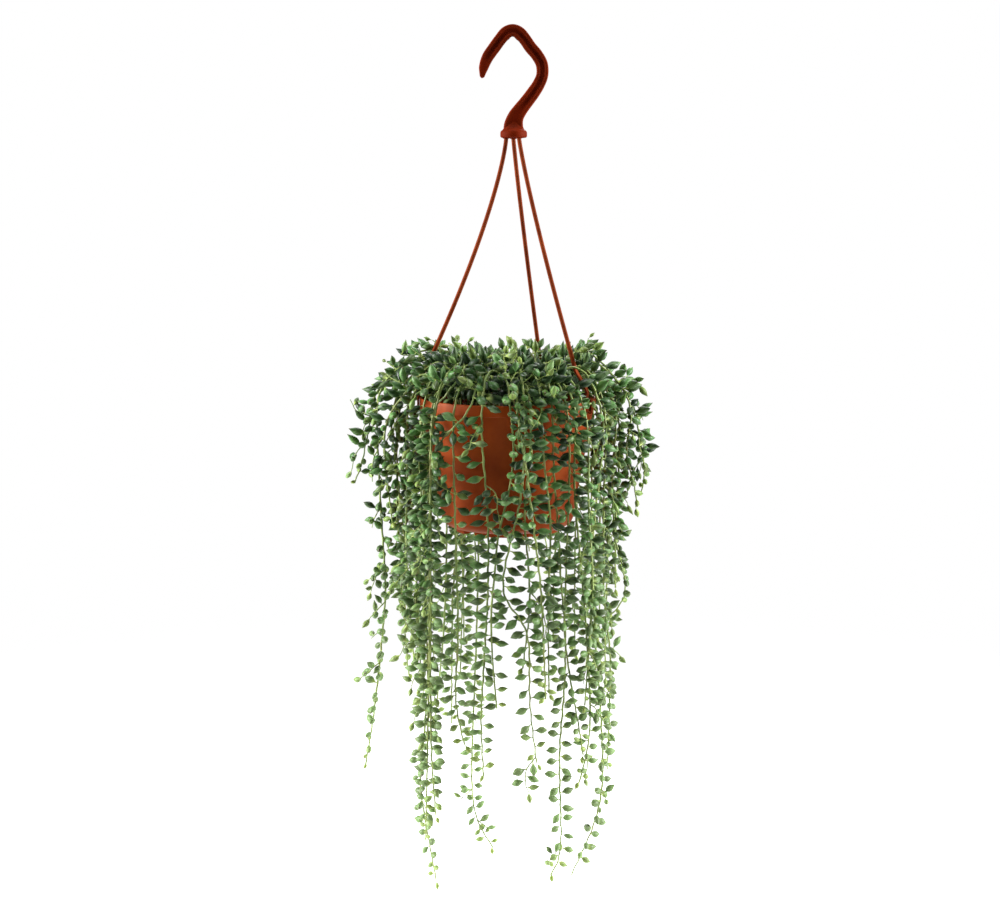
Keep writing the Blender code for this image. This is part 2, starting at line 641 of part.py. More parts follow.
def near_pairs(points, fixed, owner, spot):
    """Pairs of points of different stems, or of stems and rods, that could come to touch."""
    firsts, seconds = [], []
    everything = np.vstack([points, fixed])
    owners = np.concatenate([owner, np.full(len(fixed), -1)])
    spots = np.concatenate([spot, np.zeros(len(fixed), int)])
    for start in range(0, len(points), 400):
        block = np.arange(start, min(start + 400, len(points)))
        far = np.linalg.norm(everything[block, None] - everything[None], axis=2)
        stranger = (owners[block, None] != owners[None]) | (abs(spots[block, None] - spots[None]) > 4)
        ahead = block[:, None] < np.arange(len(everything))[None]
        rows, columns = np.nonzero((far < STEM_REACH) & stranger & ahead)
        firsts.append(block[rows])
        seconds.append(columns)
    return np.concatenate(firsts), np.concatenate(seconds)


def frames_along(line):
    """A tangent and one side direction at each point, carried along without twist."""
    tangent = np.gradient(line, axis=0)
    tangent[0] = (0.0, 0.0, 1.0)
    tangent /= np.linalg.norm(tangent, axis=1)[:, None]
    side = np.cross(tangent[0], (0.3, 0.8, 0.1))
    sides = []
    for direction in tangent:
        side = side - direction * side.dot(direction)
        side = side / np.linalg.norm(side)
        sides.append(side)
    return tangent, np.array(sides)


class Crowding:
    """Remembers balls that fill the stems, leaves and rods, and answers whether a new leaf is clear."""

    def __init__(self, stems, fixed):
        centres = [*stems.values(), fixed]
        radii = [np.full(len(line), STEM_RADIUS + 1.1) for line in stems.values()]
        radii.append(np.full(len(fixed), ROD_RADIUS + 1.4))
        owners = [np.full(len(line), number) for number, line in enumerate(stems.values())]
        owners.append(np.full(len(fixed), -1))
        self.centres = np.vstack(centres)
        self.radii = np.concatenate(radii)
        self.owners = np.concatenate(owners)

    @staticmethod
    def balls(base, aim, length):
        shares, widths = np.array(LEAF_BALLS).T
        return base + aim * (shares * length)[:, None], widths * LEAF_HALF_WIDTH * length / LEAF_LENGTH + GAP

    def clear(self, base, aim, length, owner):
        centres, widths = self.balls(base, aim, length)
        far = np.linalg.norm(centres[:, None] - self.centres[None], axis=2)
        need = widths[:, None] + self.radii[None]
        own = self.owners[None] == owner
        need = np.where(own, np.minimum(need, widths[:, None] * 0.6), need)
        if (far < need).any():
            return False
        for centre, width in zip(centres, widths):
            if (abs(keep_off_pot(centre[None], width + 0.4)[0] - centre) > 1e-6).any():
                return False
            if math.hypot(*centre[:2]) < RIM_RADIUS and centre[2] < -SOIL_DEPTH_BELOW_RIM + width + 0.4:
                return False
        return True

    def add(self, base, aim, length):
        centres, widths = self.balls(base, aim, length)
        self.centres = np.vstack([self.centres, centres])
        self.radii = np.concatenate([self.radii, widths])
        self.owners = np.concatenate([self.owners, np.full(len(widths), -1)])


def place_leaves(line, owner, crowd, draw):
    """Stations along a stem where one or two leaves have room, with each leaf's direction and length."""
    tangent, sides = frames_along(line)
    run = np.arange(len(line)) * np.linalg.norm(line[1] - line[0])
    total = run[-1]
    stations = []
    at = FIRST_LEAF
    turn = draw.uniform(0, FULL_TURN)
    while at < total - BARE_TIP:
        place = point_at(line, run, at)
        index = min(int(at / total * (len(line) - 1)), len(line) - 2)
        along, side = tangent[index], sides[index]
        other = np.cross(along, side)
        hanging = place[2] < 0 and math.hypot(place[0], place[1]) > RIM_RADIUS
        length = LEAF_LENGTH * min(1.0, 0.55 + (total - at) / YOUNG_LENGTH)
        leaves = []
        for attempt in range(LEAF_TRIES):
            angle = turn + math.pi * len(leaves) + (attempt % 6) * 0.5 * (-1) ** attempt
            out = side * math.cos(angle) + other * math.sin(angle)
            aim = out + along * draw.uniform(0.0, 0.35)
            if not hanging:
                aim = aim + np.array([0.0, 0.0, 0.45])
            aim = aim / np.linalg.norm(aim)
            if crowd.clear(place, aim, length, owner):
                leaves.append((aim, length))
                crowd.add(place, aim, length)
            if len(leaves) == 2:
                break
        if leaves:
            stations.append((at, leaves))
        turn += LEAF_TURN
        at += HANGING_LEAF_SPACING if hanging else CROWN_LEAF_SPACING
    return stations


def ring_frame(place, along, side, width):
    other = np.cross(along, side)
    return Matrix(
        (
            (side[0] * width, other[0] * width, along[0], place[0] * MM),
            (side[1] * width, other[1] * width, along[1], place[1] * MM),
            (side[2] * width, other[2] * width, along[2], place[2] * MM),
            (0.0, 0.0, 0.0, 1.0),
        )
    )


def extrude_face(shape, face, move):
    """Extrudes one face and moves its corners."""
    made = bmesh.ops.extrude_discrete_faces(shape, faces=[face])["faces"][0]
    for corner in made.verts:
        corner.co = move(corner.co)
    return made


def grow_leaf(shape, face, aim, length):
    """A leaf drawn out of one side of the stem: swelling to its middle, then to a point."""
    base = face.calc_center_median()
    aim = Vector(aim)
    half = LEAF_HALF_WIDTH * length / LEAF_LENGTH * MM

    def swell(corner):
        offset = corner - base
        flat = (offset - aim * offset.dot(aim)).normalized()
        return base + aim * (0.42 * length * MM) + flat * half

    ring = extrude_face(shape, face, swell)
    tip = bmesh.ops.poke(shape, faces=[ring])["verts"][0]
    tip.co = base + aim * (length * MM)


def point_at(line, run, mark):
    return np.array([np.interp(mark, run, line[:, axis]) for axis in range(3)])


def split_where_bent(line, run, start, end):
    """Marks between two others that keep straight pieces close to the stem's curve."""
    if end - start < 2 * STEM_STEP:
        return []
    first, last = point_at(line, run, start), point_at(line, run, end)
    within = line[(run > start) & (run < end)]
    along = (last - first) / np.linalg.norm(last - first)
    offset = within - first
    offset = offset - along * (offset @ along)[:, None]
    if np.linalg.norm(offset, axis=1).max() < STEM_SAG:
        return []
    middle = (start + end) / 2
    left = split_where_bent(line, run, start, middle)
    return [*left, middle, *split_where_bent(line, run, middle, end)]


def vine_shape(line, stations):
    """A three-sided stem with its leaves, grown ring by ring as one closed skin."""
    tangent, sides = frames_along(line)
    run = np.arange(len(line)) * np.linalg.norm(line[1] - line[0])
    total = run[-1]
    stops = {0.0: [], total: []}
    for at, leaves in stations:
        stops[at - LEAF_BASE / 2] = []
        stops[at + LEAF_BASE / 2] = leaves
    marks = sorted(stops)
    filled = [marks[0]]
    for mark in marks[1:]:
        filled += [*split_where_bent(line, run, filled[-1], mark), mark]

    def frame_at(mark):
        index = min(round(mark / total * (len(line) - 1)), len(line) - 1)
        width = 1.0 - 0.4 * mark / total
        return ring_frame(point_at(line, run, mark), tangent[index], sides[index], width)

    frame = frame_at(filled[0])
    shape = bmesh.new()
    bmesh.ops.create_cone(
        shape,
        cap_ends=True,
        segments=3,
        radius1=STEM_RADIUS * MM,
        radius2=STEM_RADIUS * MM,
        depth=ROOT_STUB * MM,
        matrix=Matrix.Translation((0.0, 0.0, ROOT_STUB * MM / 2)),
    )
    end = max(shape.faces, key=lambda face: face.calc_center_median().z)
    bmesh.ops.transform(shape, matrix=frame, verts=shape.verts)
    for mark in filled[1:-1]:
        following = frame_at(mark)
        change = following @ frame.inverted()
        end = extrude_face(shape, end, lambda corner: change @ corner)
        frame = following
        if stops.get(mark):
            grow_pair(shape, end, stops[mark])
    tip = bmesh.ops.poke(shape, faces=[end])["verts"][0]
    tip.co = Vector(line[-1] * MM)
    return shape


def grow_pair(shape, end, leaves):
    quads = [face for edge in end.edges for face in edge.link_faces if face is not end]
    for aim, length in leaves:
        for quad in quads:
            quad.normal_update()
        best = max(quads, key=lambda quad: quad.normal.dot(Vector(aim)))
        if best.normal.dot(Vector(aim)) < 0.35:
            continue
        quads.remove(best)
        grow_leaf(shape, best, aim, length)


def build_vines(home, parent, made_of):
    lines = settle(stem_lines())
    crowd = Crowding(lines, fixed_points())
    draw = np.random.default_rng(LEAF_SEED)
    for number, (name, line) in enumerate(lines.items()):
        stations = place_leaves(line, number, crowd, draw)
        shape = vine_shape(line, stations)
        add_object(name, mesh_from(shape, name), home, parent, made_of)


def build_all():
    clear_scene()
    home = bpy.data.collections.new("Potted string of beads")
    cutters = bpy.data.collections.new("Cutters")
    bpy.context.scene.collection.children.link(home)
    bpy.context.scene.collection.children.link(cutters)
    rim_centre = add_object("rim_centre", None, home)
    rim_centre.location = (POT_AXIS_X * MM, 0.0, RIM_TOP_Z * MM)
    terracotta = make_material("Terracotta plastic", (0.21, 0.045, 0.012), 0.6)
    brown = make_material("Brown plastic", (0.10, 0.012, 0.006), 0.4)
    earth = make_material("Potting soil", (0.02, 0.012, 0.008), 0.95)
    leaf = make_material("Succulent leaf", (0.03, 0.11, 0.05), 0.45)
    build_pot(home, cutters, rim_centre, terracotta)
    build_soil(home, rim_centre, earth)
    build_hook(home, cutters, brown)
    for name, rod_place in RODS.items():
        build_rod(name, rod_place, home, cutters, rim_centre, terracotta)
    build_vines(home, rim_centre, leaf)


build_all()
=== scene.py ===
import math

import bmesh
import bpy
import numpy as np
from mathutils import Matrix, Vector


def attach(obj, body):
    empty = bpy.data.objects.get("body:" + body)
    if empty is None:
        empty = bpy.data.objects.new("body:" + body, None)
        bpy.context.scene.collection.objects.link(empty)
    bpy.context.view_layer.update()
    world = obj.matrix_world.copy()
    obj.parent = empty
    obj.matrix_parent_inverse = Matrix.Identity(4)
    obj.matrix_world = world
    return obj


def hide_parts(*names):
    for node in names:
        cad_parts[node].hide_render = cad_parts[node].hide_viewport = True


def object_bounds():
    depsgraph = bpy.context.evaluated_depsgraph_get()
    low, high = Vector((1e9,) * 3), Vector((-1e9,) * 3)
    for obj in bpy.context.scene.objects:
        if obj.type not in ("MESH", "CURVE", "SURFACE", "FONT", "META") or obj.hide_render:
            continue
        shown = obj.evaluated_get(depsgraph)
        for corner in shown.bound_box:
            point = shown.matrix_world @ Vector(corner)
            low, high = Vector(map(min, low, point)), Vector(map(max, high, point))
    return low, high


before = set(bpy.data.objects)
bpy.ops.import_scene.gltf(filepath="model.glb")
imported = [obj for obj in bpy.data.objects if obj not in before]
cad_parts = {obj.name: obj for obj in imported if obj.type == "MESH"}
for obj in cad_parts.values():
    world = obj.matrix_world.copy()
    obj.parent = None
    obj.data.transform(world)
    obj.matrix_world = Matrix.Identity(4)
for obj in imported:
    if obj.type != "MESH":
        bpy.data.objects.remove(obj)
cadBox = [[float(v) for v in corner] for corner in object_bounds()]
print("frame loaded with", len(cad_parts), "CAD nodes")

mm = 0.001
fullTurn = 2 * math.pi
# The middle of the pot's rim in the frame, whose origin is the hook's seat
rimCentre = np.array([-3.5, 0.0, -300.0])


class Wire:
    # A node's output. Sums written with wires and numbers add the Math nodes they need.
    def __init__(self, bench, socket):
        self.bench = bench
        self.socket = socket

    def __add__(self, other):
        return self.bench.math("ADD", self, other)

    def __sub__(self, other):
        return self.bench.math("SUBTRACT", self, other)

    def __rsub__(self, other):
        return self.bench.math("SUBTRACT", other, self)

    def __mul__(self, other):
        return self.bench.math("MULTIPLY", self, other)

    def __truediv__(self, other):
        return self.bench.math("DIVIDE", self, other)

    # a sum and a product read the same both ways round
    __radd__ = __add__
    __rmul__ = __mul__


class Bench:
    # Builds one node tree: a node's type, then its settings, then the values or wires of its sockets.
    def __init__(self, tree):
        self.tree = tree

    def add(self, kind, settings=None, values=None, output=None):
        node = self.tree.nodes.new(kind)
        for name, setting in (settings or {}).items():
            if name == "curve":
                self.setCurve(node.mapping, setting)
            else:
                setattr(node, name, setting)
        for key, value in (values or {}).items():
            self.plug(node.inputs[key], value)
        if output is not None:
            return Wire(self, node.outputs[output])
        shown = [socket for socket in node.outputs if socket.enabled]
        return Wire(self, shown[0]) if shown else node

    def geometry(self, kind, values=None, settings=None, output=None):
        return self.add("GeometryNode" + kind, settings, values, output)

    def painted(self, shape, material):
        return self.geometry("SetMaterial", {"Geometry": shape, "Material": material})

    def copies(self, points, values):
        # a shape on every point, made real
        copied = self.geometry("InstanceOnPoints", {"Points": points, **values})
        return self.geometry("RealizeInstances", {"Geometry": copied})

    def plug(self, socket, value):
        for part in value if isinstance(value, list) else [value]:
            if isinstance(part, Wire):
                self.tree.links.new(part.socket, socket)
            else:
                socket.default_value = part

    def setCurve(self, mapping, points):
        # a new curve already has its first and last point, so those two are set and the rest added
        first, *between, last = points
        line = mapping.curves[0]
        line.points[0].location = first
        line.points[1].location = last
        for place, value in between:
            line.points.new(place, value)
        mapping.update()

    def outputsOf(self, wire):
        # every output of the node that a wire leaves
        return {socket.name: Wire(self, socket) for socket in wire.socket.node.outputs}

    def math(self, operation, first, second):
        return self.add("ShaderNodeMath", {"operation": operation}, {0: first, 1: second})

    def vector(self, operation, values, output=None):
        return self.add("ShaderNodeVectorMath", {"operation": operation}, values, output)

    def combine(self, **parts):
        return self.add("ShaderNodeCombineXYZ", None, parts)

    def separate(self, vector):
        parts = self.outputsOf(self.add("ShaderNodeSeparateXYZ", None, {"Vector": vector}))
        return parts["X"], parts["Y"], parts["Z"]

    def mix(self, factor, first, second):
        return self.add("ShaderNodeMix", {"data_type": "RGBA"}, {0: factor, 6: first, 7: second})

    def step(self, value, low, high, start=0.0, end=1.0):
        # a smooth step from start to end as the value goes from low to high
        return self.add(
            "ShaderNodeMapRange",
            {"interpolation_type": "SMOOTHSTEP"},
            {0: value, 1: low, 2: high, 3: start, 4: end},
        )

    def noise(self, place, scale, detail=3.0, roughness=0.55):
        values = {"Vector": place, "Scale": scale, "Detail": detail, "Roughness": roughness}
        return self.add("ShaderNodeTexNoise", None, values)

    def attribute(self, name, output="Fac"):
        return self.add("ShaderNodeAttribute", {"attribute_name": name}, output=output)

    def stretched(self, vector, scale):
        return self.add("ShaderNodeMapping", None, {"Vector": vector, "Scale": scale})

    def objectPlace(self):
        return self.add("ShaderNodeTexCoord", None, None, "Object")


def colour(red, green, blue):
    # a colour given as a paint program shows it, 0 to 255, as the shader's linear values
    def linear(level):
        level = level / 255
        return level / 12.92 if level <= 0.04045 else ((level + 0.055) / 1.055) ** 2.4

    return (linear(red), linear(green), linear(blue), 1.0)


def newMaterial(name, fixed):
    material = bpy.data.materials.new(name)
    material.use_nodes = True
    shader = material.node_tree.nodes["Principled BSDF"]
    for socket, value in fixed.items():
        shader.inputs[socket].default_value = value
    return material, Bench(material.node_tree), shader


def finish(bench, shader, body, roughness, height, distance, strength):
    # a material's colour, roughness and small relief
    bench.plug(shader.inputs["Base Color"], body)
    bench.plug(shader.inputs["Roughness"], roughness)
    bump = bench.add("ShaderNodeBump", None, {"Strength": strength, "Distance": distance, "Height": height})
    bench.plug(shader.inputs["Normal"], bump)


def newTree(name, inputs):
    # a Geometry Nodes tree, its bench and the wires of its inputs
    tree = bpy.data.node_groups.new(name, "GeometryNodeTree")
    tree.is_modifier = True
    tree.interface.new_socket("Geometry", in_out="OUTPUT", socket_type="NodeSocketGeometry")
    tree.interface.new_socket("Geometry", in_out="INPUT", socket_type="NodeSocketGeometry")
    for label, kind, value in inputs:
        socket = tree.interface.new_socket(label, in_out="INPUT", socket_type="NodeSocket" + kind)
        if value is not None:
            socket.default_value = value
    bench = Bench(tree)
    return tree, bench, bench.outputsOf(bench.add("NodeGroupInput"))


def linked(name, data):
    # a new object in the scene
    obj = bpy.data.objects.new(name, data)
    bpy.context.scene.collection.objects.link(obj)
    return obj


def finalMesh(obj, *helpers):
    # the mesh of an object with its modifiers applied; the object and its helpers are removed
    bpy.context.view_layer.update()
    graph = bpy.context.evaluated_depsgraph_get()
    mesh = bpy.data.meshes.new_from_object(
        obj.evaluated_get(graph), preserve_all_data_layers=True, depsgraph=graph
    )
    for used in (obj, *helpers):
        bpy.data.objects.remove(used, do_unlink=True)
    return mesh


def grown(obj, tree, values):
    # the plain mesh that a Geometry Nodes tree makes of an object
    modifier = obj.modifiers.new(tree.name, "NODES")
    modifier.node_group = tree
    for socket in tree.interface.items_tree:
        if socket.item_type == "SOCKET" and socket.in_out == "INPUT" and socket.name in values:
            modifier[socket.identifier] = values[socket.name]
    return finalMesh(obj)


def addPiece(name, mesh, replaced=()):
    mesh.name = name
    piece = linked(name, mesh)
    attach(piece, "root")
    if replaced:
        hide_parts(*replaced)


def meshOf(vertices, faces, name):
    # a mesh from rim-centred millimetres
    mesh = bpy.data.meshes.new(name)
    places = (np.asarray(vertices, float) + rimCentre) * mm
    mesh.from_pydata(places.tolist(), [], faces)
    mesh.validate()
    mesh.update()
    return mesh


def smoothed(mesh, sharpAngle):
    mesh.shade_smooth()
    mesh.set_sharp_from_angle(angle=math.radians(sharpAngle))
    return mesh


def shapeMesh(shape, name):
    # a bmesh shape as a mesh
    mesh = bpy.data.meshes.new(name)
    shape.to_mesh(mesh)
    shape.free()
    return mesh


def discMesh(name, radius, centre, segments):
    # a flat round face, in metres
    shape = bmesh.new()
    bmesh.ops.create_circle(shape, cap_ends=True, segments=segments, radius=radius)
    bmesh.ops.translate(shape, verts=shape.verts, vec=Vector(centre))
    return shapeMesh(shape, name)


# The vines take the routes of the CAD frame
stems = {
    "radius": 1.25,
    "step": 5.0,
    "room": 6.5,
    "reach": 14.0,
    "stiffness": 0.12,
    "potRoom": 2.95,
    "settleRounds": 60,
    "settleStep": 1.5,
    "rootInnerRadius": 14.0,
    "rootRingStep": 9.5,
    "rootLeanStep": 9.0,
    "rootSpread": 3.0,
    "rootRise": 0.15,
    "shoulderShares": (0.55, 0.42),
    "shoulderLean": 0.4,
    "shoulderRise": 0.85,
    "overRim": 4.0,
    "crestInset": 9.0,
    "gap": 0.3,
    "edgeMargin": 2.0,
    "lipMargin": 1.0,
    "smallestGap": 0.05,
    "pairRounds": 10,
    "blockSize": 400,
    "ownSpan": 4,
}
potShape = {
    "rimRadius": 75.0,
    "bandHeight": 9.5,
    "bandStep": 1.8,
    "wall": 1.6,
    "taper": 0.18,
    "height": 114.0,
    "floorThickness": 1.8,
    "cornerRadius": 10.0,
    "footHeight": 3.5,
    "footOuterRadius": 46.0,
    "footInnerRadius": 39.0,
    "footNotches": 4,
    "footNotchWidth": 13.0,
    "drainHoles": 6,
    "drainHoleRadius": 4.0,
    "drainCircleRadius": 26.0,
    "soilDepth": 11.0,
    "segments": 120,
}
hanger = {
    "flangeX": 1.5,
    "flangeTop": -76.0,
    "flangeHeight": 6.8,
    "flangeRadius": 11.2,
    "hookThickness": 7.0,
    "grooveDepth": 1.4,
    "rodRadius": 1.8,
    "rodCircleRadius": 6.2,
    "socketDepth": 4.5,
    "strapWidth": 5.6,
    "clipWidth": 4.8,
    "strapThickness": 1.8,
    "strapTop": 24.0,
    "strapKnee": 8.0,
    "clipLegDepth": 8.2,
    "clipBarb": 1.3,
}
rods = {
    "Left": {"azimuth": 186.0, "socketAzimuth": 182.0, "strapTopRadius": 71.0, "bow": 1.33},
    "Back": {"azimuth": 61.5, "socketAzimuth": 92.0, "strapTopRadius": 62.0, "bow": 1.1},
    "Right": {"azimuth": -23.0, "socketAzimuth": -45.0, "strapTopRadius": 62.5, "bow": 1.15},
}
# Each hanging vine: the height of its crest over the rim, then x, y and drop along it beyond the crest
frontVines = [
    (23, [(-45, -74, 4), (-44, -74, 50), (-43, -74, 100),
          (-41, -73, 195), (-44, -73, 245), (-36, -72, 284)]),
    (31, [(-21, -84, 0), (-21, -85, 30), (-17, -85, 76),
          (-15, -84, 150), (-22, -83, 252), (-20, -82, 308)]),
    (27, [(-30, -86, 4), (-43, -81, 16), (-67, -60, 46),
          (-69, -57, 98), (-77, -52, 160), (-70, -52, 240)]),
    (20, [(-63, -64, 8), (-62, -66, 60), (-73, -61, 120), (-76, -59, 165), (-73, -58, 205)]),
    (35, [(-70, -52, 5), (-72, -53, 60), (-68, -52, 166),
          (-70, -52, 280), (-75, -52, 320), (-61, -50, 411)]),
    (25, [(-60, -70, 5), (-64, -70, 90), (-65, -70, 200), (-67, -70, 290), (-69, -69, 368)]),
    (33, [(-61, -76, 6), (-63, -76, 120), (-64, -76, 245), (-63, -76, 300), (-60, -76, 344)]),
    (26, [(2, -86, 0), (5, -87, 24), (4, -87, 50), (-1, -87, 78), (-9, -86, 106),
          (-12, -86, 140), (-15, -86, 177), (-9, -86, 249)]),
    (30, [(12, -90, 6), (13, -90, 50), (10, -89, 78), (2, -88, 110), (-4, -87, 136),
          (-6, -86, 156), (4, -87, 168), (16, -88, 178), (18, -86, 245), (24, -84, 296)]),
    (21, [(19, -84, 4), (18, -84, 40), (13, -84, 85), (17, -84, 130), (18, -84, 165), (13, -84, 216)]),
    (29, [(27, -81, 4), (29, -82, 45), (35, -82, 95), (33, -82, 160), (34, -82, 237)]),
    (36, [(36, -77, 0), (37, -77, 50), (42, -76, 112), (48, -76, 212),
          (43, -75, 290), (45, -75, 380), (36, -74, 397)]),
    (24, [(49, -73, 6), (50, -73, 76), (47, -73, 145), (48, -73, 205), (60, -72, 272), (63, -72, 293)]),
    (19, [(56, -67, 4), (54, -68, 60), (61, -68, 140), (66, -67, 200), (69, -67, 275), (60, -66, 319)]),
    (32, [(76, -44, 0), (80, -44, 26), (72, -44, 105), (72, -44, 170),
          (81, -43, 300), (77, -43, 355), (55, -42, 409)]),
    (23, [(10, -92, 12), (20, -93, 90), (27, -92, 150), (31, -91, 240)]),
    (27, [(64, -72, 8), (66, -74, 90), (70, -73, 150), (64, -73, 250)]),
    (37, [(-38, -68, -18), (-57, -60, -7), (-68, -62, 12), (-73, -66, 40), (-71, -67, 74)]),
]
rightVines = [
    (29, [(82, -28, 10), (81, -28, 84), (82, -28, 170), (88, -27, 222), (86, -26, 320)]),
    (25, [(92, -12, 8), (89, -12, 60), (92, -12, 124),
          (103, -12, 158), (101, -12, 178), (88, -12, 188)]),
    (34, [(96, -6, -12), (106, -8, 8), (105, -8, 28), (98, -8, 46), (111, -7, 78), (110, -7, 94)]),
    (40, [(103, 7, 0), (111, 6, 22), (116, 5, 48), (120, 5, 72), (115, 5, 84)]),
    (21, [(92, 6, 4), (97, 8, 40), (94, 9, 100), (94, 9, 168)]),
    (31, [(86, 22, 6), (88, 22, 120), (86, 22, 230), (88, 22, 262)]),
]
leftVines = [
    (38, [(-108, -5, -11), (-111, -5, 30), (-107, -5, 126),
          (-105, -5, 170), (-115, -5, 268), (-124, -5, 323)]),
    (42, [(-112, 9, -8), (-117, 9, 18), (-122, 9, 42), (-126, 9, 64), (-132, 9, 76)]),
    (30, [(-97, -14, 2), (-98, -14, 28), (-91, -14, 90), (-86, -14, 150), (-89, -14, 182)]),
    (22, [(-84, -28, 4), (-84, -28, 64), (-86, -28, 126), (-80, -27, 224)]),
    (34, [(-74, -36, -20), (-92, -32, 2), (-104, -25, 20), (-102, -24, 64), (-97, -24, 108)]),
    (26, [(-92, 4, 4), (-95, 6, 90), (-92, 6, 150), (-93, 6, 190)]),
    (33, [(-86, 24, 6), (-89, 24, 120), (-90, 24, 216), (-87, 24, 250)]),
]
farVines = [
    (26, [(-52, 72, 8), (-54, 72, 80), (-55, 71, 160), (-58, 70, 227), (-66, 70, 306)]),
    (30, [(-42, 77, 6), (-43, 78, 90), (-47, 78, 160), (-50, 78, 200), (-51, 78, 310)]),
    (22, [(-34, 88, 8), (-37, 88, 70), (-38, 88, 132), (-41, 88, 200), (-43, 88, 267)]),
    (34, [(-25, 80, 4), (-26, 80, 148), (-28, 80, 232), (-32, 79, 384), (-13, 78, 429)]),
]
crownShoots = [
    {"azimuth": 100, "sweep": -70, "reach": 66, "height": 38},
    {"azimuth": 200, "sweep": 80, "reach": 74, "height": 35},
    {"azimuth": 320, "sweep": -60, "reach": 62, "height": 41},
    {"azimuth": 20, "sweep": 70, "reach": 78, "height": 36},
    {"azimuth": 255, "sweep": -75, "reach": 52, "height": 43},
]
backVines = {
    "count": 13,
    "firstAzimuth": 29.0,
    "lastAzimuth": 151.0,
    "layerRadii": (86.0, 98.0, 110.0),
    "shortDrop": 125.0,
    "longDrop": 290.0,
    "dropSpread": 30.0,
    "shares": (0.0, 0.3, 0.55, 0.8, 1.0),
    "sway": 5.0,
    "inwards": 3.0,
    "firstDrop": 5.0,
    "seed": 11,
}
shoots = {"rootRadius": 12.0, "rise": (14.0, 8.0), "shares": (0.35, 0.6, 0.85, 1.0), "highest": 0.9}


def polar(radius, azimuth, height=0.0):
    turn = math.radians(azimuth)
    return np.array([radius * math.cos(turn), radius * math.sin(turn), height])


def wallRadius(drop):
    # the pot's outer radius at a drop below its rim, under the rim band
    pot = potShape
    return pot["rimRadius"] - pot["bandStep"] - pot["taper"] * (drop - pot["bandHeight"])


def ramp(value, length):
    # 0 to 1 as the value goes from 0 to the length
    return np.clip(value / length, 0, 1)


def unit(vector):
    return vector / max(np.linalg.norm(vector), 1e-9)


def units(vectors):
    # every row of an array at unit length
    return vectors / np.maximum(np.linalg.norm(vectors, axis=1), 1e-9)[:, None]


def pathNormals(line):
    # the direction along a line at each point, and one across it that turns as little as it can
    tangent = units(np.gradient(line, axis=0))
    side = np.cross(tangent[0], (0.3, 0.8, 0.1))
    sides = []
    for direction in tangent:
        side = side - direction * side.dot(direction)
        side = side / np.linalg.norm(side)
        sides.append(side)
    return tangent, np.array(sides)


def runAlong(line):
    # how far along a line of even steps each point stands
    return np.arange(len(line)) * np.linalg.norm(line[1] - line[0])


def smoothLine(points, step):
    # points at an even step along a Catmull-Rom curve through the given ones
    points = np.asarray(points, float)
    ends = np.vstack([2 * points[0] - points[1], points, 2 * points[-1] - points[-2]])
    share = np.linspace(0, 1, 24, endpoint=False)[:, None]
    fine = []
    for a, b, c, d in zip(ends, ends[1:], ends[2:], ends[3:]):
        bend = 2 * b + (c - a) * share + (2 * a - 5 * b + 4 * c - d) * share**2
        fine.append((bend + (3 * b - a - 3 * c + d) * share**3) / 2)
    fine = np.vstack([*fine, points[-1:]])
    run = np.concatenate([[0], np.cumsum(np.linalg.norm(np.diff(fine, axis=0), axis=1))])
    stops = np.linspace(0, run[-1], max(3, round(run[-1] / step) + 1))
    return np.column_stack([np.interp(stops, run, fine[:, axis]) for axis in range(fine.shape[1])])


def crownPoints(first, crest, index):
    # from the root over the rim; the root's ring and lean differ from those of the vines beside it
    azimuth = math.degrees(math.atan2(first[1], first[0]))
    reach = math.hypot(first[0], first[1])
    rootRadius = stems["rootInnerRadius"] + stems["rootRingStep"] * (index * 7 % 5)
    lean = stems["rootLeanStep"] * (index * 5 % 7 - 3)
    out = min(reach, potShape["rimRadius"] + stems["overRim"])
    inner, outer = stems["shoulderShares"]
    return [
        polar(rootRadius, azimuth + lean, stems["gap"] - potShape["soilDepth"]),
        polar(rootRadius + stems["rootSpread"], azimuth + lean, stems["rootRise"] * crest),
        polar(
            inner * rootRadius + outer * out,
            azimuth + stems["shoulderLean"] * lean,
            stems["shoulderRise"] * crest,
        ),
        polar(out - stems["crestInset"], azimuth, crest),
    ]


def hangingVine(crest, hanging, index):
    points = crownPoints(hanging[0], crest, index)
    points += [np.array([x, y, -drop], float) for x, y, drop in hanging]
    return smoothLine(points, stems["step"])


def backRows():
    # the vines at the back, which the photo doesn't show, evenly round and in three layers
    draw = np.random.default_rng(backVines["seed"])
    rows = []
    turns = np.linspace(backVines["firstAzimuth"], backVines["lastAzimuth"], backVines["count"])
    spread, sway, firstDrop = backVines["dropSpread"], backVines["sway"], backVines["firstDrop"]
    for index, azimuth in enumerate(turns):
        radius = backVines["layerRadii"][index * 2 % 3]
        toSide = abs(math.cos(math.radians(azimuth)))
        drop = backVines["shortDrop"] + (backVines["longDrop"] - backVines["shortDrop"]) * toSide
        drop += draw.uniform(-spread, spread)
        hanging = []
        for share in backVines["shares"]:
            across = polar(draw.uniform(-sway, sway) * share, azimuth + 90)
            place = polar(radius - backVines["inwards"] * share, azimuth) + across
            hanging.append((place[0], place[1], firstDrop + (drop - firstDrop) * share))
        rows.append((12 + index * 5 % 19, hanging))
    return rows


def crownShoot(azimuth, sweep, reach, height):
    root, rise = shoots["rootRadius"], shoots["rise"]
    points = [polar(root, azimuth, stems["gap"] - potShape["soilDepth"]), polar(rise[0], azimuth, rise[1])]
    for share in shoots["shares"]:
        lift = height * (1 - (shoots["highest"] - share) ** 2)
        points.append(polar(root + (reach - root) * share, azimuth + sweep * share, lift))
    return smoothLine(points, stems["step"])


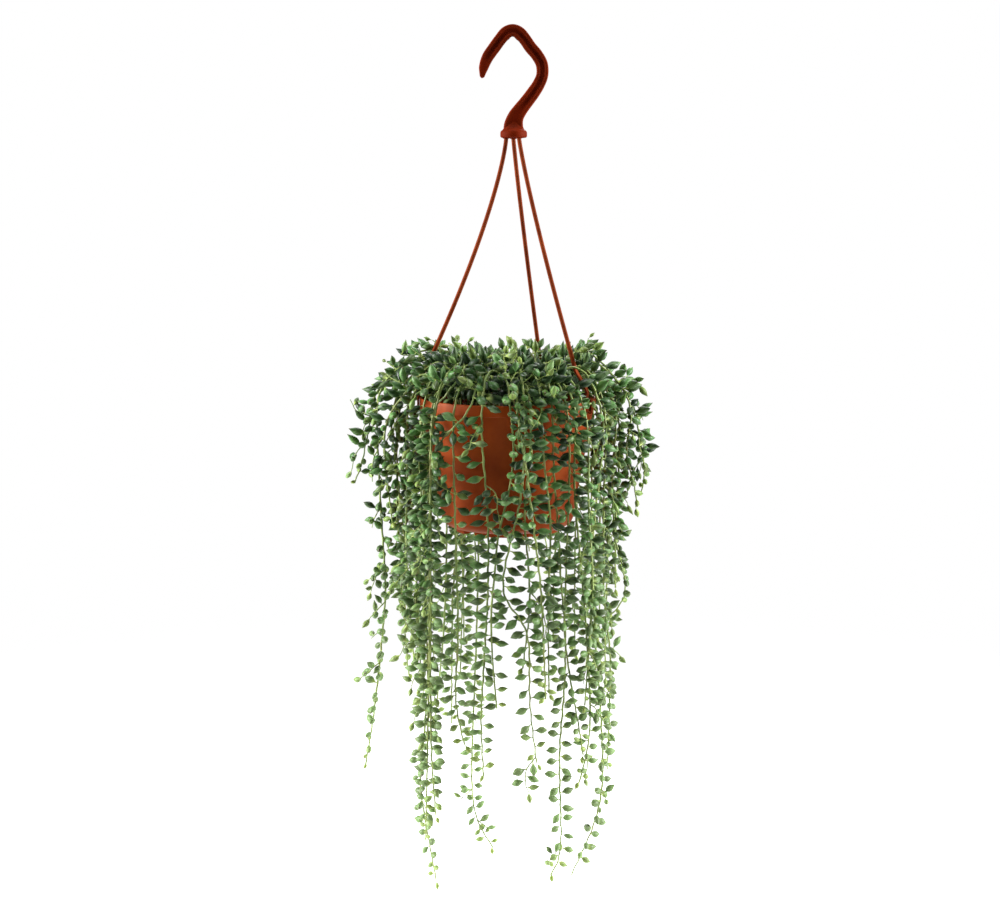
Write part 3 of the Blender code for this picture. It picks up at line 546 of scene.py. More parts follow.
def stemLines():
    # every vine's name in the frame and its route
    lines = {}
    groups = {"front": frontVines, "right": rightVines, "left": leftVines, "back": farVines + backRows()}
    for side, rows in groups.items():
        for number, (crest, hanging) in enumerate(rows, 1):
            lines[f"vine_{side}_{number:02d}"] = hangingVine(crest, hanging, len(lines))
    for number, shoot in enumerate(crownShoots, 1):
        lines[f"crown_shoot_{number:02d}"] = crownShoot(**shoot)
    return lines


def rodLine(azimuth, socketAzimuth, strapTopRadius, bow, count=12):
    top = polar(hanger["rodCircleRadius"], socketAzimuth) + (hanger["flangeX"] - rimCentre[0], 0.0, 0.0)
    top[2] = hanger["flangeTop"] - hanger["flangeHeight"] - rimCentre[2]
    foot = polar(strapTopRadius + 1.0, azimuth, hanger["strapTop"] - 5.0)
    line = [top + (0, 0, hanger["socketDepth"] - stems["gap"])]
    for share in np.linspace(0.0, 1.0, count):
        place = top + (foot - top) * share
        place[:2] = top[:2] + (foot - top)[:2] * share**bow
        line.append(place)
    return np.array(line)


def fixedPoints():
    # points of the rods and clips, which the stems and leaves keep clear of
    points = []
    rim = potShape["rimRadius"]
    half = hanger["strapThickness"] / 2
    middle = rim - potShape["wall"] - 2 * stems["gap"] - half
    outer = rim + stems["gap"] + half
    clip = [(middle, 1.0), (outer, 1.0), (outer, -potShape["bandHeight"] - 2.0)]
    for rod in rods.values():
        points.append(smoothLine(rodLine(**rod), 4.0))
        strap = [(rod["strapTopRadius"], hanger["strapTop"]), (middle, hanger["strapKnee"]),
                 (middle, -hanger["clipLegDepth"])]
        for line in (smoothLine(strap, 3.0), smoothLine(clip, 3.0)):
            for side in (-0.3 * hanger["strapWidth"], 0.3 * hanger["strapWidth"]):
                across = polar(side, rod["azimuth"] + 90)
                points.append(np.array([polar(r, rod["azimuth"], z) + across for r, z in line]))
    return np.vstack(points)


def keepOffPot(points, room):
    # moves points out of the room that the pot and soil need
    pot = potShape
    margin = stems["edgeMargin"]
    radius = np.hypot(points[:, 0], points[:, 1])
    height = points[:, 2]
    drop = -height
    wall = np.where(drop < pot["bandHeight"] + margin, pot["rimRadius"], wallRadius(drop))
    outside = (height < 0) & (drop < pot["height"] + margin)
    outside &= radius > pot["rimRadius"] - 1.5 * pot["wall"] - pot["bandStep"]
    outside |= (drop > pot["soilDepth"] + margin) & (drop < pot["height"] + margin)
    target = np.where(outside, np.maximum(radius, wall + room), radius)
    inside = (height < 0) & (drop < pot["soilDepth"] + margin) & ~outside
    innerRadius = pot["rimRadius"] - pot["wall"] - pot["bandStep"]
    target = np.where(inside, np.minimum(radius, innerRadius - room), target)
    over = height >= 0
    lip = pot["rimRadius"] - pot["wall"] / 2
    far = np.hypot(radius - lip, height)
    lipRoom = room + stems["lipMargin"]
    scale = np.where(over & (far < lipRoom), lipRoom / np.maximum(far, 0.1), 1.0)
    target = np.where(over, lip + (radius - lip) * scale, target)
    lifted = np.where(over, height * scale, height)
    soil = -pot["soilDepth"] + stems["radius"] + stems["gap"]
    lifted = np.where(inside, np.maximum(lifted, soil), lifted)
    factor = target / np.maximum(radius, 0.1)
    return np.column_stack([points[:, 0] * factor, points[:, 1] * factor, lifted])


def nearPairs(points, fixed, owner, spot):
    # pairs of points within reach of each other, but not of one stem close to one another along it
    firsts, seconds = [], []
    everything = np.vstack([points, fixed])
    owners = np.concatenate([owner, np.full(len(fixed), -1)])
    spots = np.concatenate([spot, np.zeros(len(fixed), int)])
    for start in range(0, len(points), stems["blockSize"]):
        part = np.arange(start, min(start + stems["blockSize"], len(points)))
        far = np.linalg.norm(everything[part, None] - everything[None], axis=2)
        stranger = owners[part, None] != owners[None]
        stranger |= abs(spots[part, None] - spots[None]) > stems["ownSpan"]
        ahead = part[:, None] < np.arange(len(everything))[None]
        rows, columns = np.nonzero((far < stems["reach"]) & stranger & ahead)
        firsts.append(part[rows])
        seconds.append(columns)
    return np.concatenate(firsts), np.concatenate(seconds)


def settle(lines):
    # lets the stems push each other apart until each has room, off the pot, soil and rods
    names = list(lines)
    owner = np.concatenate([np.full(len(lines[name]), number) for number, name in enumerate(names)])
    spot = np.concatenate([np.arange(len(lines[name])) for name in names])
    points = np.vstack([lines[name] for name in names])
    root = spot == 0
    tip = np.append(root[1:], True)
    inner = np.flatnonzero(~root & ~tip)
    count = len(points)
    everything = np.vstack([points, fixedPoints()])
    for turn in range(stems["settleRounds"]):
        if turn % stems["pairRounds"] == 0:
            first, second = nearPairs(points, everything[count:], owner, spot)
        everything[:count] = points
        apart = everything[first] - everything[second]
        far = np.maximum(np.linalg.norm(apart, axis=1), stems["smallestGap"])
        push = np.where(far < stems["room"], (stems["room"] - far) / far / 2, 0.0)[:, None] * apart
        moved = np.zeros_like(everything)
        np.add.at(moved, first, push)
        np.add.at(moved, second, -push)
        moved = moved[:count]
        size = np.maximum(np.linalg.norm(moved, axis=1), stems["settleStep"])[:, None]
        points = points + moved * stems["settleStep"] / size
        points[inner] += stems["stiffness"] * ((points[inner - 1] + points[inner + 1]) / 2 - points[inner])
        points = keepOffPot(points, stems["potRoom"])
        points[root, 2] = stems["gap"] - potShape["soilDepth"]
    return {name: points[owner == number] for number, name in enumerate(names)}


foliage = {
    "seed": 41,
    "stemStep": 2.0,
    "crownSpacing": 7.8,
    "hangingSpacing": (7.1, 6.0),
    "twigSpacing": 6.2,
    "spacingSpread": 0.22,
    "crownLength": (14.0, 19.0),
    "hangingTopLength": (13.5, 18.0),
    "hangingLowLength": (10.5, 14.0),
    "lowDrop": 300.0,
    "widthShare": (0.38, 0.47),
    "lowWidthShare": (0.45, 0.56),
    "thicknessShare": (0.76, 0.92),
    "youngLength": 45.0,
    "youngestShare": 0.6,
    "crownTop": 49.0,
    "crownEdge": 88.0,
    "crownFall": 1.2,
    "hangBelow": 2.0,
    "hangInset": 4.0,
    "crownStemRadius": 0.84,
    "hangingStemRadius": 0.72,
    "tipStemRadius": 0.6,
    "nodeSwell": 0.18,
    "nodeLength": 1.6,
    "zigzag": 0.34,
    "outward": (-0.15, 0.42),
    "boxMargin": 8.0,
    # where and how much the leaves deep inside the crown are darkened: painted shade
    "innerRadius": (60.0, 80.0),
    "innerHeight": (24.0, 42.0),
    "innerPaintedShade": 0.8,
    "turnStep": 2.4,
    "endLeaf": 3.0,
    "endLean": 2.2,
}
# How much room a leaf wants: its tries, the strain that is good enough, and the weights of what it meets
crowding = {
    "room": 60000,
    "reach": 9.0,
    "tries": 10,
    "goodEnough": 0.3,
    "tryTurn": 0.42,
    "ownShare": 0.5,
    "wallGap": 0.3,
    "wallWeight": 2.0,
    "soilWeight": 3.0,
    "crownWeight": 1.5,
    "boxWeight": 40.0,
    "windowWeight": 4.0,
    "freeDepth": 0.6,
    "shyness": 0.3,
    "smallest": 0.66,
    "endDepth": 20.0,
}
twigs = {
    "step": 2.0,
    "wander": 0.05,
    "room": 2.4,
    "first": (16.0, 8.0),
    "bareEnd": 30.0,
    "crownGap": 23.0,
    "crownLength": (12.0, 28.0),
    "crownDroop": 0.06,
    "hangingGap": 74.0,
    "hangingLength": (14.0, 30.0),
    "hangingDroop": 0.10,
    "hangingFrom": -30.0,
    "lowest": -4.0,
    "gapSpread": (0.7, 1.3),
    "faceHalf": 60.0,
    "fringeFrom": -28.0,
    "fringeDrop": 18.0,
    "sideFrom": 56.0,
    "sideDrop": 230.0,
    "sideGap": 30.0,
    "stemRadius": 0.52,
    "tipRadius": 0.3,
}
# Balls that fill a leaf: each one's place along it and its radius, as shares of its length and half width
leafBalls = np.array([(0.3, 0.75), (0.48, 1.0), (0.68, 0.8), (0.88, 0.4)])
# Twigs that show apart from the mass: the vine, the drop where each leaves it, its points beyond
ownTwigs = [
    ("vine_front_02", 62, [(8, -3, 6), (10, -4, 22), (12, -4, 34)]),
    ("vine_front_09", 292, [(-7, -3, 8), (-9, -4, 20), (-6, -5, 28)]),
    ("vine_front_05", 192, [(-10, -3, 5), (-17, -4, 9), (-23, -4, 20)]),
    ("vine_front_14", 296, [(1, -4, 6), (-1, -5, 18)]),
    ("vine_left_02", 20, [(-7, -3, -3), (-13, -4, -7), (-17, -4, -15)]),
    ("vine_left_02", 44, [(-7, -2, 5), (-11, -2, 16), (-13, -3, 26)]),
    ("vine_right_04", 30, [(4, -3, 8), (3, -3, 22), (1, -4, 34)]),
    ("vine_right_03", 30, [(7, -5, 4), (9, -6, 14), (12, -6, 26)]),
    ("vine_back_04", 405, [(8, -2, 6), (13, -2, 14)]),
    ("vine_front_12", 372, [(-6, -3, 8), (-12, -3, 14)]),
    ("vine_front_10", 150, [(8, -4, 10), (13, -5, 26), (12, -5, 42)]),
    ("vine_left_01", 150, [(-8, -3, 6), (-12, -3, 18)]),
    ("vine_front_08", -7, [(3, -7, 5), (5, -10, 16), (7, -10, 30)]),
    ("vine_front_09", -9, [(-4, -6, 6), (-6, -9, 20), (-5, -9, 31)]),
    ("vine_front_10", -7, [(4, -7, 5), (7, -10, 18), (6, -10, 36)]),
    ("vine_front_11", -6, [(4, -6, 5), (7, -9, 18), (8, -10, 34)]),
    ("vine_front_12", -4, [(-4, -7, 6), (-6, -10, 20), (-4, -10, 30)]),
    ("vine_front_13", -3, [(5, -6, 5), (8, -9, 18), (7, -9, 28)]),
    ("vine_front_16", 14, [(7, -3, 6), (10, -4, 18), (11, -4, 30)]),
]
# Long leaves that stand one above another on one side of a bare vine
longLeaves = {
    "vine": "vine_front_02",
    "top": 20.0,
    "bottom": 88.0,
    "length": (15.0, 17.0),
    "spacing": 13.0,
}
# Windows through the leaves towards the eye: the right rod and its strap, the rim at the front left and
# the pot's bare face. A span is its start, end and step; offsets are how far each ball stands off.
windows = {
    "eye": (-6.4, -1500.0, 156.6),
    "rodHeights": (4.0, 74.0),
    "strapHeights": (-9.0, -4.0, 1.0, 6.0),
    "rodOffsets": (5.0, 12.0, 20.0, 29.0, 39.0),
    "rodRadius": 4.4,
    "rimSpan": (-71.0, -30.0, 5.0),
    "rimHeights": (-3.0, 3.0, 9.0),
    "rimOffsets": (4.0, 11.0, 20.0),
    "rimRadius": 4.6,
    "faceSpan": (-13.0, -3.0, 4.0),
    "faceHeights": (-62.0, -8.0, 5.0),
    "faceOffsets": (7.0, 16.0),
    "faceRadius": 4.6,
}


def clearings():
    # balls of air where the windows are, as centres and radii
    eye = np.array(windows["eye"])
    centres, radii = [], []

    def clear(place, offsets, radius):
        for offset in offsets:
            centres.append(place + unit(eye - place) * offset)
            radii.append(radius)

    line = smoothLine(rodLine(**rods["Right"]), 3.0)
    low, high = windows["rodHeights"]
    for place in line[(line[:, 2] > low) & (line[:, 2] < high)]:
        clear(place, windows["rodOffsets"], windows["rodRadius"])
    for height in windows["strapHeights"]:
        place = polar(potShape["rimRadius"] + 1.0, rods["Right"]["azimuth"], height)
        clear(place, windows["rodOffsets"], windows["rodRadius"])
    for x in np.arange(*windows["rimSpan"]):
        y = -math.sqrt(potShape["rimRadius"] ** 2 - x * x)
        for height in windows["rimHeights"]:
            clear(np.array([x, y, height]), windows["rimOffsets"], windows["rimRadius"])
    for x in np.arange(*windows["faceSpan"]):
        for height in np.arange(*windows["faceHeights"]):
            place = np.array([x, -potShape["rimRadius"], height])
            clear(place, windows["faceOffsets"], windows["faceRadius"])
    return np.array(centres), np.array(radii)


class Crowd:
    # Remembers balls that fill stems, rods and leaves, and says how deep a new leaf would sit in them.
    def __init__(self, room):
        self.centres = np.zeros((room, 3))
        self.radii = np.zeros(room)
        self.owners = np.full(room, -1)
        self.weights = np.ones(room)
        self.count = 0

    def add(self, centres, radii, owner, weight=1.0):
        new = slice(self.count, self.count + len(centres))
        self.centres[new] = centres
        self.radii[new] = radii
        self.owners[new] = owner
        self.weights[new] = weight
        self.count += len(centres)

    def near(self, place, reach):
        far = np.abs(self.centres[: self.count] - place).max(axis=1)
        return np.flatnonzero(far < reach)

    def depth(self, centres, radii, owner, near):
        far = np.linalg.norm(centres[:, None] - self.centres[near][None], axis=2)
        need = radii[:, None] + self.radii[near][None]
        own = self.owners[near][None] == owner
        need = np.where(own, np.minimum(need, radii[:, None] * crowding["ownShare"]), need)
        deep = (np.maximum(need - far, 0.0) * self.weights[near]).sum()
        off = keepOffPot(centres, radii.max() + crowding["wallGap"])
        deep += crowding["wallWeight"] * np.abs(off - centres).max()
        inPot = (np.hypot(centres[:, 0], centres[:, 1]) < potShape["rimRadius"] + 1) & (centres[:, 2] < 0)
        sunk = np.maximum(-potShape["soilDepth"] + radii.max() - centres[:, 2], 0.0)
        return deep + crowding["soilWeight"] * sunk[inPot].sum()


def leafBallsAt(base, aim, length, halfWidth):
    return base + aim * (leafBalls[:, 0] * length)[:, None], leafBalls[:, 1] * halfWidth


def outFrom(place):
    # the level direction from the pot's axis to a place
    return unit(np.append(place[:2], 0.0))


def isHanging(place):
    edge = potShape["rimRadius"] - foliage["hangInset"]
    return place[2] < foliage["hangBelow"] and math.hypot(place[0], place[1]) > edge


def outOfBounds(tip):
    # how far a leaf's tip would stand over the crown's outline, and whether it leaves the frame's box
    over = foliage["crownFall"] * max(0.0, math.hypot(tip[0], tip[1]) - foliage["crownEdge"])
    over = max(0.0, tip[2] - foliage["crownTop"] + over)
    low, high = (np.array(corner) / mm - rimCentre for corner in cadBox)
    margin = foliage["boxMargin"]
    return over, bool((tip < low - margin).any() or (tip > high + margin).any())


def twigLine(start, heading, length, droop, draw):
    # a twig that starts along its heading and bends down under its own weight
    points = [start]
    wander = draw.normal(0, twigs["wander"], 3)
    for _ in range(int(length / twigs["step"])):
        heading = unit(heading + (0, 0, -droop) + wander)
        points.append(points[-1] + heading * twigs["step"])
    return keepOffPot(np.array(points), twigs["room"])


def growTwig(place, along, side, hanging, draw):
    # a twig off to any side: it trails along a hanging vine, and rises a little in the crown
    out = outFrom(place)
    turn = draw.uniform(0, fullTurn)
    spread = side * math.cos(turn) + np.cross(along, side) * math.sin(turn)
    if hanging:
        heading = unit(spread + 0.3 * out + 0.9 * along)
        return twigLine(place, heading, draw.uniform(*twigs["hangingLength"]), twigs["hangingDroop"], draw)
    heading = unit(spread + 0.4 * out + 0.3 * along + (0, 0, 0.35))
    return twigLine(place, heading, draw.uniform(*twigs["crownLength"]), twigs["crownDroop"], draw)


def sideTwigs(name, line, closed, draw):
    # the short twigs that fill the crown, fewer of them along the hanging part and none over the pot's face
    fine = smoothLine(line, 3.0)
    tangent, sides = pathNormals(fine)
    run = runAlong(fine)
    at = twigs["first"][0] + draw.uniform(0, twigs["first"][1])
    found = []
    while at < run[-1] - twigs["bareEnd"]:
        index = int(np.searchsorted(run, at))
        place = fine[index]
        hanging = isHanging(place)
        overFace = place[1] < -twigs["faceHalf"] and abs(place[0]) < twigs["faceHalf"] and hanging
        overFace &= place[0] < twigs["fringeFrom"] or place[2] < -twigs["fringeDrop"]
        if (place[2] > twigs["lowest"] or hanging) and not overFace:
            twig = growTwig(place, tangent[index], sides[index], hanging, draw)
            over, outside = outOfBounds(twig[-1])
            blocks = np.linalg.norm(twig[:, None] - closed[0][None], axis=2) < closed[1]
            if over < 1.0 and not outside and not blocks.any():
                found.append(twig)
        gap = twigs["hangingGap"] if hanging and place[2] < twigs["hangingFrom"] else twigs["crownGap"]
        if hanging and abs(place[0]) > twigs["sideFrom"] and place[2] > -twigs["sideDrop"]:
            gap = min(gap, twigs["sideGap"])
        at += gap * draw.uniform(*twigs["gapSpread"])
    for vine, drop, offsets in ownTwigs:
        if vine == name:
            hangs = np.flatnonzero((line[:, 2] < 0) | (np.arange(len(line)) > len(line) // 3))
            start = line[hangs[np.argmin(np.abs(line[hangs, 2] + drop))]]
            points = [start] + [start + (x, y, -z) for x, y, z in offsets]
            found.append(smoothLine(points, twigs["step"]))
    return found


def strandOf(line, thick, tipThick, main):
    # a strand with a small zigzag at its nodes, how far along it each point stands, and its thickness
    fine = smoothLine(line, foliage["stemStep"])
    run = runAlong(fine)
    total = run[-1]
    wave = np.sin(run * math.pi / foliage["hangingSpacing"][0] + fine[0][0]) * foliage["zigzag"]
    fade = ramp(run, 15.0) * np.clip((total - run) / 4.0, 0.3, 1)
    fine = fine + pathNormals(fine)[1] * (wave * fade)[:, None]
    if main:
        hang = np.array([isHanging(place) for place in fine])
        share = np.cumsum(hang) / max(hang.sum(), 1)
        radius = thick * (1 - share) + foliage["hangingStemRadius"] * share
        radius *= 0.5 + 0.5 * ramp(total - run, 70.0)
    else:
        radius = thick * (0.6 + 0.4 * (total - run) / total)
    return fine, run, np.maximum(radius, tipThick)


def between(first, second, share):
    return [a + (b - a) * share for a, b in zip(first, second)]


def lowShare(place):
    # 0 at the rim, and 1 where the leaves are as short and round as they get
    return min(1.0, max(0.0, -place[2] / foliage["lowDrop"]))


def paintedShadeShare(place):
    # 1 deep inside the crown, where the leaves are painted darker as painted shade, and 0 at its skin
    low, high = foliage["innerRadius"]
    share = ramp(high - math.hypot(place[0], place[1]), high - low)
    low, high = foliage["innerHeight"]
    return share * ramp(high - place[2], high - low)


def leafSize(place, hanging, draw):
    # leaves grow shorter and rounder down the vines
    if not hanging:
        return draw.uniform(*foliage["crownLength"]), draw.uniform(*foliage["widthShare"])
    low = lowShare(place)
    length = draw.uniform(*between(foliage["hangingTopLength"], foliage["hangingLowLength"], low))
    return length, draw.uniform(*between(foliage["widthShare"], foliage["lowWidthShare"], low))


def growthShare(toTip, main):
    # how full-grown a leaf is by its way to the tip of its vine or twig
    if not main:
        return 0.8 + 0.2 * min(toTip / 20.0, 1.0)
    growth = min(1.0, toTip / foliage["youngLength"])
    return foliage["youngestShare"] + (1 - foliage["youngestShare"]) * growth**0.6


def youthOf(toTip, main):
    # how pale and yellow a leaf is
    if main:
        return np.clip(1.1 - toTip / 28.0, 0, 1) * 0.9
    return np.clip(0.5 - toTip / 20.0, 0, 1)


def leafSide(place, along, side, turn, flip, hanging, draw):
    # the side a leaf takes: left and right by turns, a little outwards, and all round in the crown
    out = outFrom(place)
    if hanging:
        level = unit(np.cross(along, out)) if abs(along.dot(out)) < 0.95 else side
        wish = level * flip + out * draw.uniform(*foliage["outward"])
    else:
        wish = side * math.cos(turn) + np.cross(along, side) * math.sin(turn) + (0, 0, 0.22) + out * 0.45
    return unit(wish - along * wish.dot(along))


def settledLeaf(place, along, wish, lean, radius, length, width, number, hanging, crowd, draw):
    # tries a few directions and gives how deep the best one sits in what is there, its aim and its base
    near = crowd.near(place, length + crowding["reach"])
    cross = np.cross(along, wish)
    best = None
    for attempt in range(crowding["tries"]):
        offset = (attempt + 1) // 2 * crowding["tryTurn"] * (-1) ** attempt + draw.normal(0, 0.12)
        tilt = lean + draw.normal(0, 0.18)
        aim = wish * math.cos(offset) + cross * math.sin(offset) + along * tilt
        if not hanging:
            aim = aim + (0, 0, 0.06)
        aim = unit(aim)
        base = place + aim * radius * 0.6
        centres, widths = leafBallsAt(base, aim, length, width / 2)
        over, outside = outOfBounds(base + aim * length)
        strain = (0.6 if hanging else 0.25) * abs(offset) + crowding["crownWeight"] * over
        strain += crowding["boxWeight"] * outside
        deep = crowd.depth(centres, widths, number, near) + strain
        if best is None or deep < best[0]:
            best = (deep, aim, base)
        if deep < crowding["goodEnough"]:
            break
    return best


def leavesAlong(name, number, fine, run, radius, main, crowd, draw):
    tangent, sides = pathNormals(fine)
    total = run[-1]
    at = 12.0 if main else 4.0
    turn = draw.uniform(0, fullTurn)
    leaves = []
    while at < total + 0.5:
        index = min(int(np.searchsorted(run, at)), len(fine) - 1)
        place, along = fine[index], tangent[index]
        hanging = isHanging(place)
        toTip = total - at
        atEnd = toTip < foliage["endLeaf"]
        length, widthShare = leafSize(place, hanging, draw)
        length *= growthShare(toTip, main)
        isLong = main and name == longLeaves["vine"]
        isLong = isLong and longLeaves["top"] < -place[2] < longLeaves["bottom"]
        if isLong:
            length = draw.uniform(*longLeaves["length"])
        width = length * widthShare
        flip = 1 if len(leaves) % 2 or isLong else -1
        wish = leafSide(place, along, sides[index], turn, flip, hanging, draw)
        lean = draw.normal(0.2, 0.12 if isLong else 0.3) if hanging else draw.uniform(0.1, 0.75)
        lean = foliage["endLean"] if atEnd else lean
        deep, aim, base = settledLeaf(
            place, along, wish, lean, radius[index], length, width, number, hanging, crowd, draw
        )
        shrink = 1.0 / (1.0 + crowding["shyness"] * max(deep - crowding["freeDepth"], 0.0) / 2.0)
        if shrink > crowding["smallest"] or (atEnd and deep < crowding["endDepth"]):
            length, width = length * max(shrink, 0.6), width * max(shrink, 0.6)
            centres, widths = leafBallsAt(base, aim, length, width / 2)
            crowd.add(centres, widths, -1)
            up = np.array([0, 0, 0.6]) + outFrom(place) * 0.8
            face = unit(up - aim * up.dot(aim))
            thickness = width * draw.uniform(*foliage["thicknessShare"])
            # a leaf deep inside the crown gets a lower tone: painted shade
            tone = draw.uniform() * (1 - foliage["innerPaintedShade"] * paintedShadeShare(base))
            size = np.array([width, thickness, length]) * mm
            leaves.append((base, aim, face, size, youthOf(toTip, main), tone, draw.integers(0, 3)))
            radius *= 1 + np.exp(-(((run - at) / foliage["nodeLength"]) ** 2)) * foliage["nodeSwell"]
        turn += foliage["turnStep"] + draw.normal(0, 0.3)
        spacing = foliage["twigSpacing"]
        if isLong:
            spacing = longLeaves["spacing"]
        elif main:
            top, low = foliage["hangingSpacing"]
            spacing = top + (low - top) * lowShare(place) if hanging else foliage["crownSpacing"]
        at += spacing * draw.uniform(1 - foliage["spacingSpread"], 1 + foliage["spacingSpread"])
    return leaves


def growthMesh(name, strands, leaves):
    # stems as edges and leaves as loose points, with what the tree needs to know at each
    places, edges, thick, youth = [], [], [], []
    for line, radius, age in strands:
        start = len(places)
        places.extend(line)
        edges += [(start + i, start + i + 1) for i in range(len(line) - 1)]
        thick.extend(radius)
        youth.extend(age)
    count = len(places)
    bases, aims, faces, sizes, youths, tones, kinds = zip(*leaves)
    mesh = bpy.data.meshes.new(name)
    mesh.from_pydata(((np.array([*places, *bases]) + rimCentre) * mm).tolist(), edges, [])

    def keep(label, kind, values, field="value"):
        layer = mesh.attributes.new(label, kind, "POINT")
        layer.data.foreach_set(field, np.ravel(values))

    keep("isLeaf", "BOOLEAN", np.arange(count + len(leaves)) >= count)
    keep("thick", "FLOAT", np.concatenate([np.array(thick) * mm, np.zeros(len(leaves))]))
    keep("youth", "FLOAT", np.concatenate([youth, youths]))
    keep("tone", "FLOAT", np.concatenate([np.zeros(count), tones]))
    keep("kind", "INT", np.concatenate([np.zeros(count, int), kinds]).astype(np.int32))
    for label, values in {"aim": aims, "face": faces, "size": sizes}.items():
        keep(label, "FLOAT_VECTOR", np.vstack([np.zeros((count, 3)), values]), "vector")
    return linked(name, mesh)


leafShape = {
    "sides": 8,
    "petiole": 0.12,
    "bend": 0.1,
    # where the rings stand along a leaf, then the widths there and the bend of three kinds of leaf
    "rings": (0.0, 0.10, 0.20, 0.34, 0.52, 0.70, 0.87, 1.0),
    "kinds": (
        ((0.0, 0.14, 0.54, 0.90, 1.00, 0.82, 0.42, 0.0), 1.0),
        ((0.0, 0.12, 0.42, 0.78, 1.00, 0.92, 0.52, 0.0), -0.6),
        ((0.0, 0.18, 0.66, 0.96, 0.97, 0.74, 0.36, 0.0), 1.9),
    ),
}


def vineTree():
    # stems swept along their edges and a leaf on every loose point, all made real
    tree, bench, inputs = newTree("vineGrowth", [
        ("Stem Sides", "Int", 6),
        ("Leaf Sides", "Int", leafShape["sides"]),
        ("Petiole Thickness", "Float", leafShape["petiole"]),
        ("Leaf Bend", "Float", leafShape["bend"]),
        ("Stem Material", "Material", None),
        ("Leaf Material", "Material", None),
    ])
    rings = leafShape["rings"]

    def named(label, kind):
        return bench.geometry("InputNamedAttribute", {"Name": label}, {"data_type": kind})

    def curveOf(values, place):
        # a value for each ring, read at a place along the leaf
        points = list(zip(np.linspace(0, 1, len(rings)).tolist(), values))
        return bench.add("ShaderNodeFloatCurve", {"curve": points}, {"Value": place})

    def tube(curve, sides, scale):
        circle = {"Resolution": sides, "Radius": 1.0}
        circle = bench.geometry("CurvePrimitiveCircle", circle, {"mode": "RADIUS"})
        swept = {"Curve": curve, "Profile Curve": circle, "Scale": scale, "Fill Caps": True}
        return bench.geometry("CurveToMesh", swept)

    def leafOf(widths, bendShare):
        # one unit long and one wide: a petiole, a swelling belly and a drawn-out point
        spine = bench.geometry("CurvePrimitiveLine", {"End": (0.0, 0.0, 1.0)}, {"mode": "POINTS"})
        spine = bench.geometry("ResampleCurve", {"Curve": spine, "Count": len(rings)})
        along = bench.geometry("SplineParameter", output="Factor")
        ringPlace = bench.combine(Z=curveOf(rings, along))
        spine = bench.geometry("SetPosition", {"Geometry": spine, "Position": ringPlace})
        petiole = inputs["Petiole Thickness"] * bench.step(along, 0.83, 1.0, 1.0, 0.1)
        width = bench.math("MAXIMUM", curveOf(widths, along), petiole) * 0.5
        leaf = tube(spine, inputs["Leaf Sides"], width)
        place = bench.geometry("InputPosition")
        kind = {"data_type": "FLOAT_VECTOR", "domain": "POINT"}
        stored = {"Geometry": leaf, "Name": "leafPlace", "Value": place}
        leaf = bench.geometry("StoreNamedAttribute", stored, kind)
        height = bench.separate(place)[2]
        arch = (height * height - height * 0.55) * inputs["Leaf Bend"] * bendShare * 4.0
        return bench.geometry("SetPosition", {"Geometry": leaf, "Offset": bench.combine(Y=arch)})

    chosen = {"Geometry": inputs["Geometry"], "Selection": named("isLeaf", "BOOLEAN")}
    points = bench.geometry("SeparateGeometry", chosen, {"domain": "POINT"}, "Selection")
    curve = bench.geometry("MeshToCurve", {"Mesh": bench.outputsOf(points)["Inverted"]})
    stem = tube(curve, inputs["Stem Sides"], named("thick", "FLOAT"))
    kinds = [leafOf(*kind) for kind in leafShape["kinds"]]
    choice = bench.geometry("GeometryToInstance", {"Geometry": kinds})
    align = "FunctionNodeAlignRotationToVector"
    turned = bench.add(align, {"axis": "Z"}, {"Vector": named("aim", "FLOAT_VECTOR")})
    facing = {"Rotation": turned, "Vector": named("face", "FLOAT_VECTOR")}
    turned = bench.add(align, {"axis": "Y", "pivot_axis": "Z"}, facing)
    leaves = bench.copies(points, {
        "Instance": choice, "Pick Instance": True, "Instance Index": named("kind", "INT"),
        "Rotation": turned, "Scale": named("size", "FLOAT_VECTOR"),
    })
    whole = bench.geometry("JoinGeometry", {"Geometry": [
        bench.painted(stem, inputs["Stem Material"]), bench.painted(leaves, inputs["Leaf Material"]),
    ]})
    whole = bench.geometry("SetShadeSmooth", {"Geometry": whole}, {"domain": "FACE"})
    bench.add("NodeGroupOutput", None, {"Geometry": whole})
    return tree


leafFinish = {
    "deep": colour(10, 33, 10),
    "fresh": colour(64, 106, 47),
    "bloom": colour(144, 172, 118),
    "young": colour(142, 160, 76),
    "under": colour(92, 124, 56),
    # low: the paler green painted on the lower leaves as painted light
    "low": colour(132, 154, 98),
    "petiole": colour(156, 174, 94),
    "tip": colour(92, 66, 62),
    # heights in the frame, in metres, between which the leaves are painted paler downwards: painted light
    # on the open lower strands
    "paintedLightHeights": (-0.60, -0.34),
    "paintedLightMix": 0.5,
    "foot": 0.16,
    "longFoot": 0.26,
}
stemFinish = {
    "light": colour(136, 152, 84),
    "green": colour(98, 120, 58),
    "brown": colour(130, 110, 66),
}


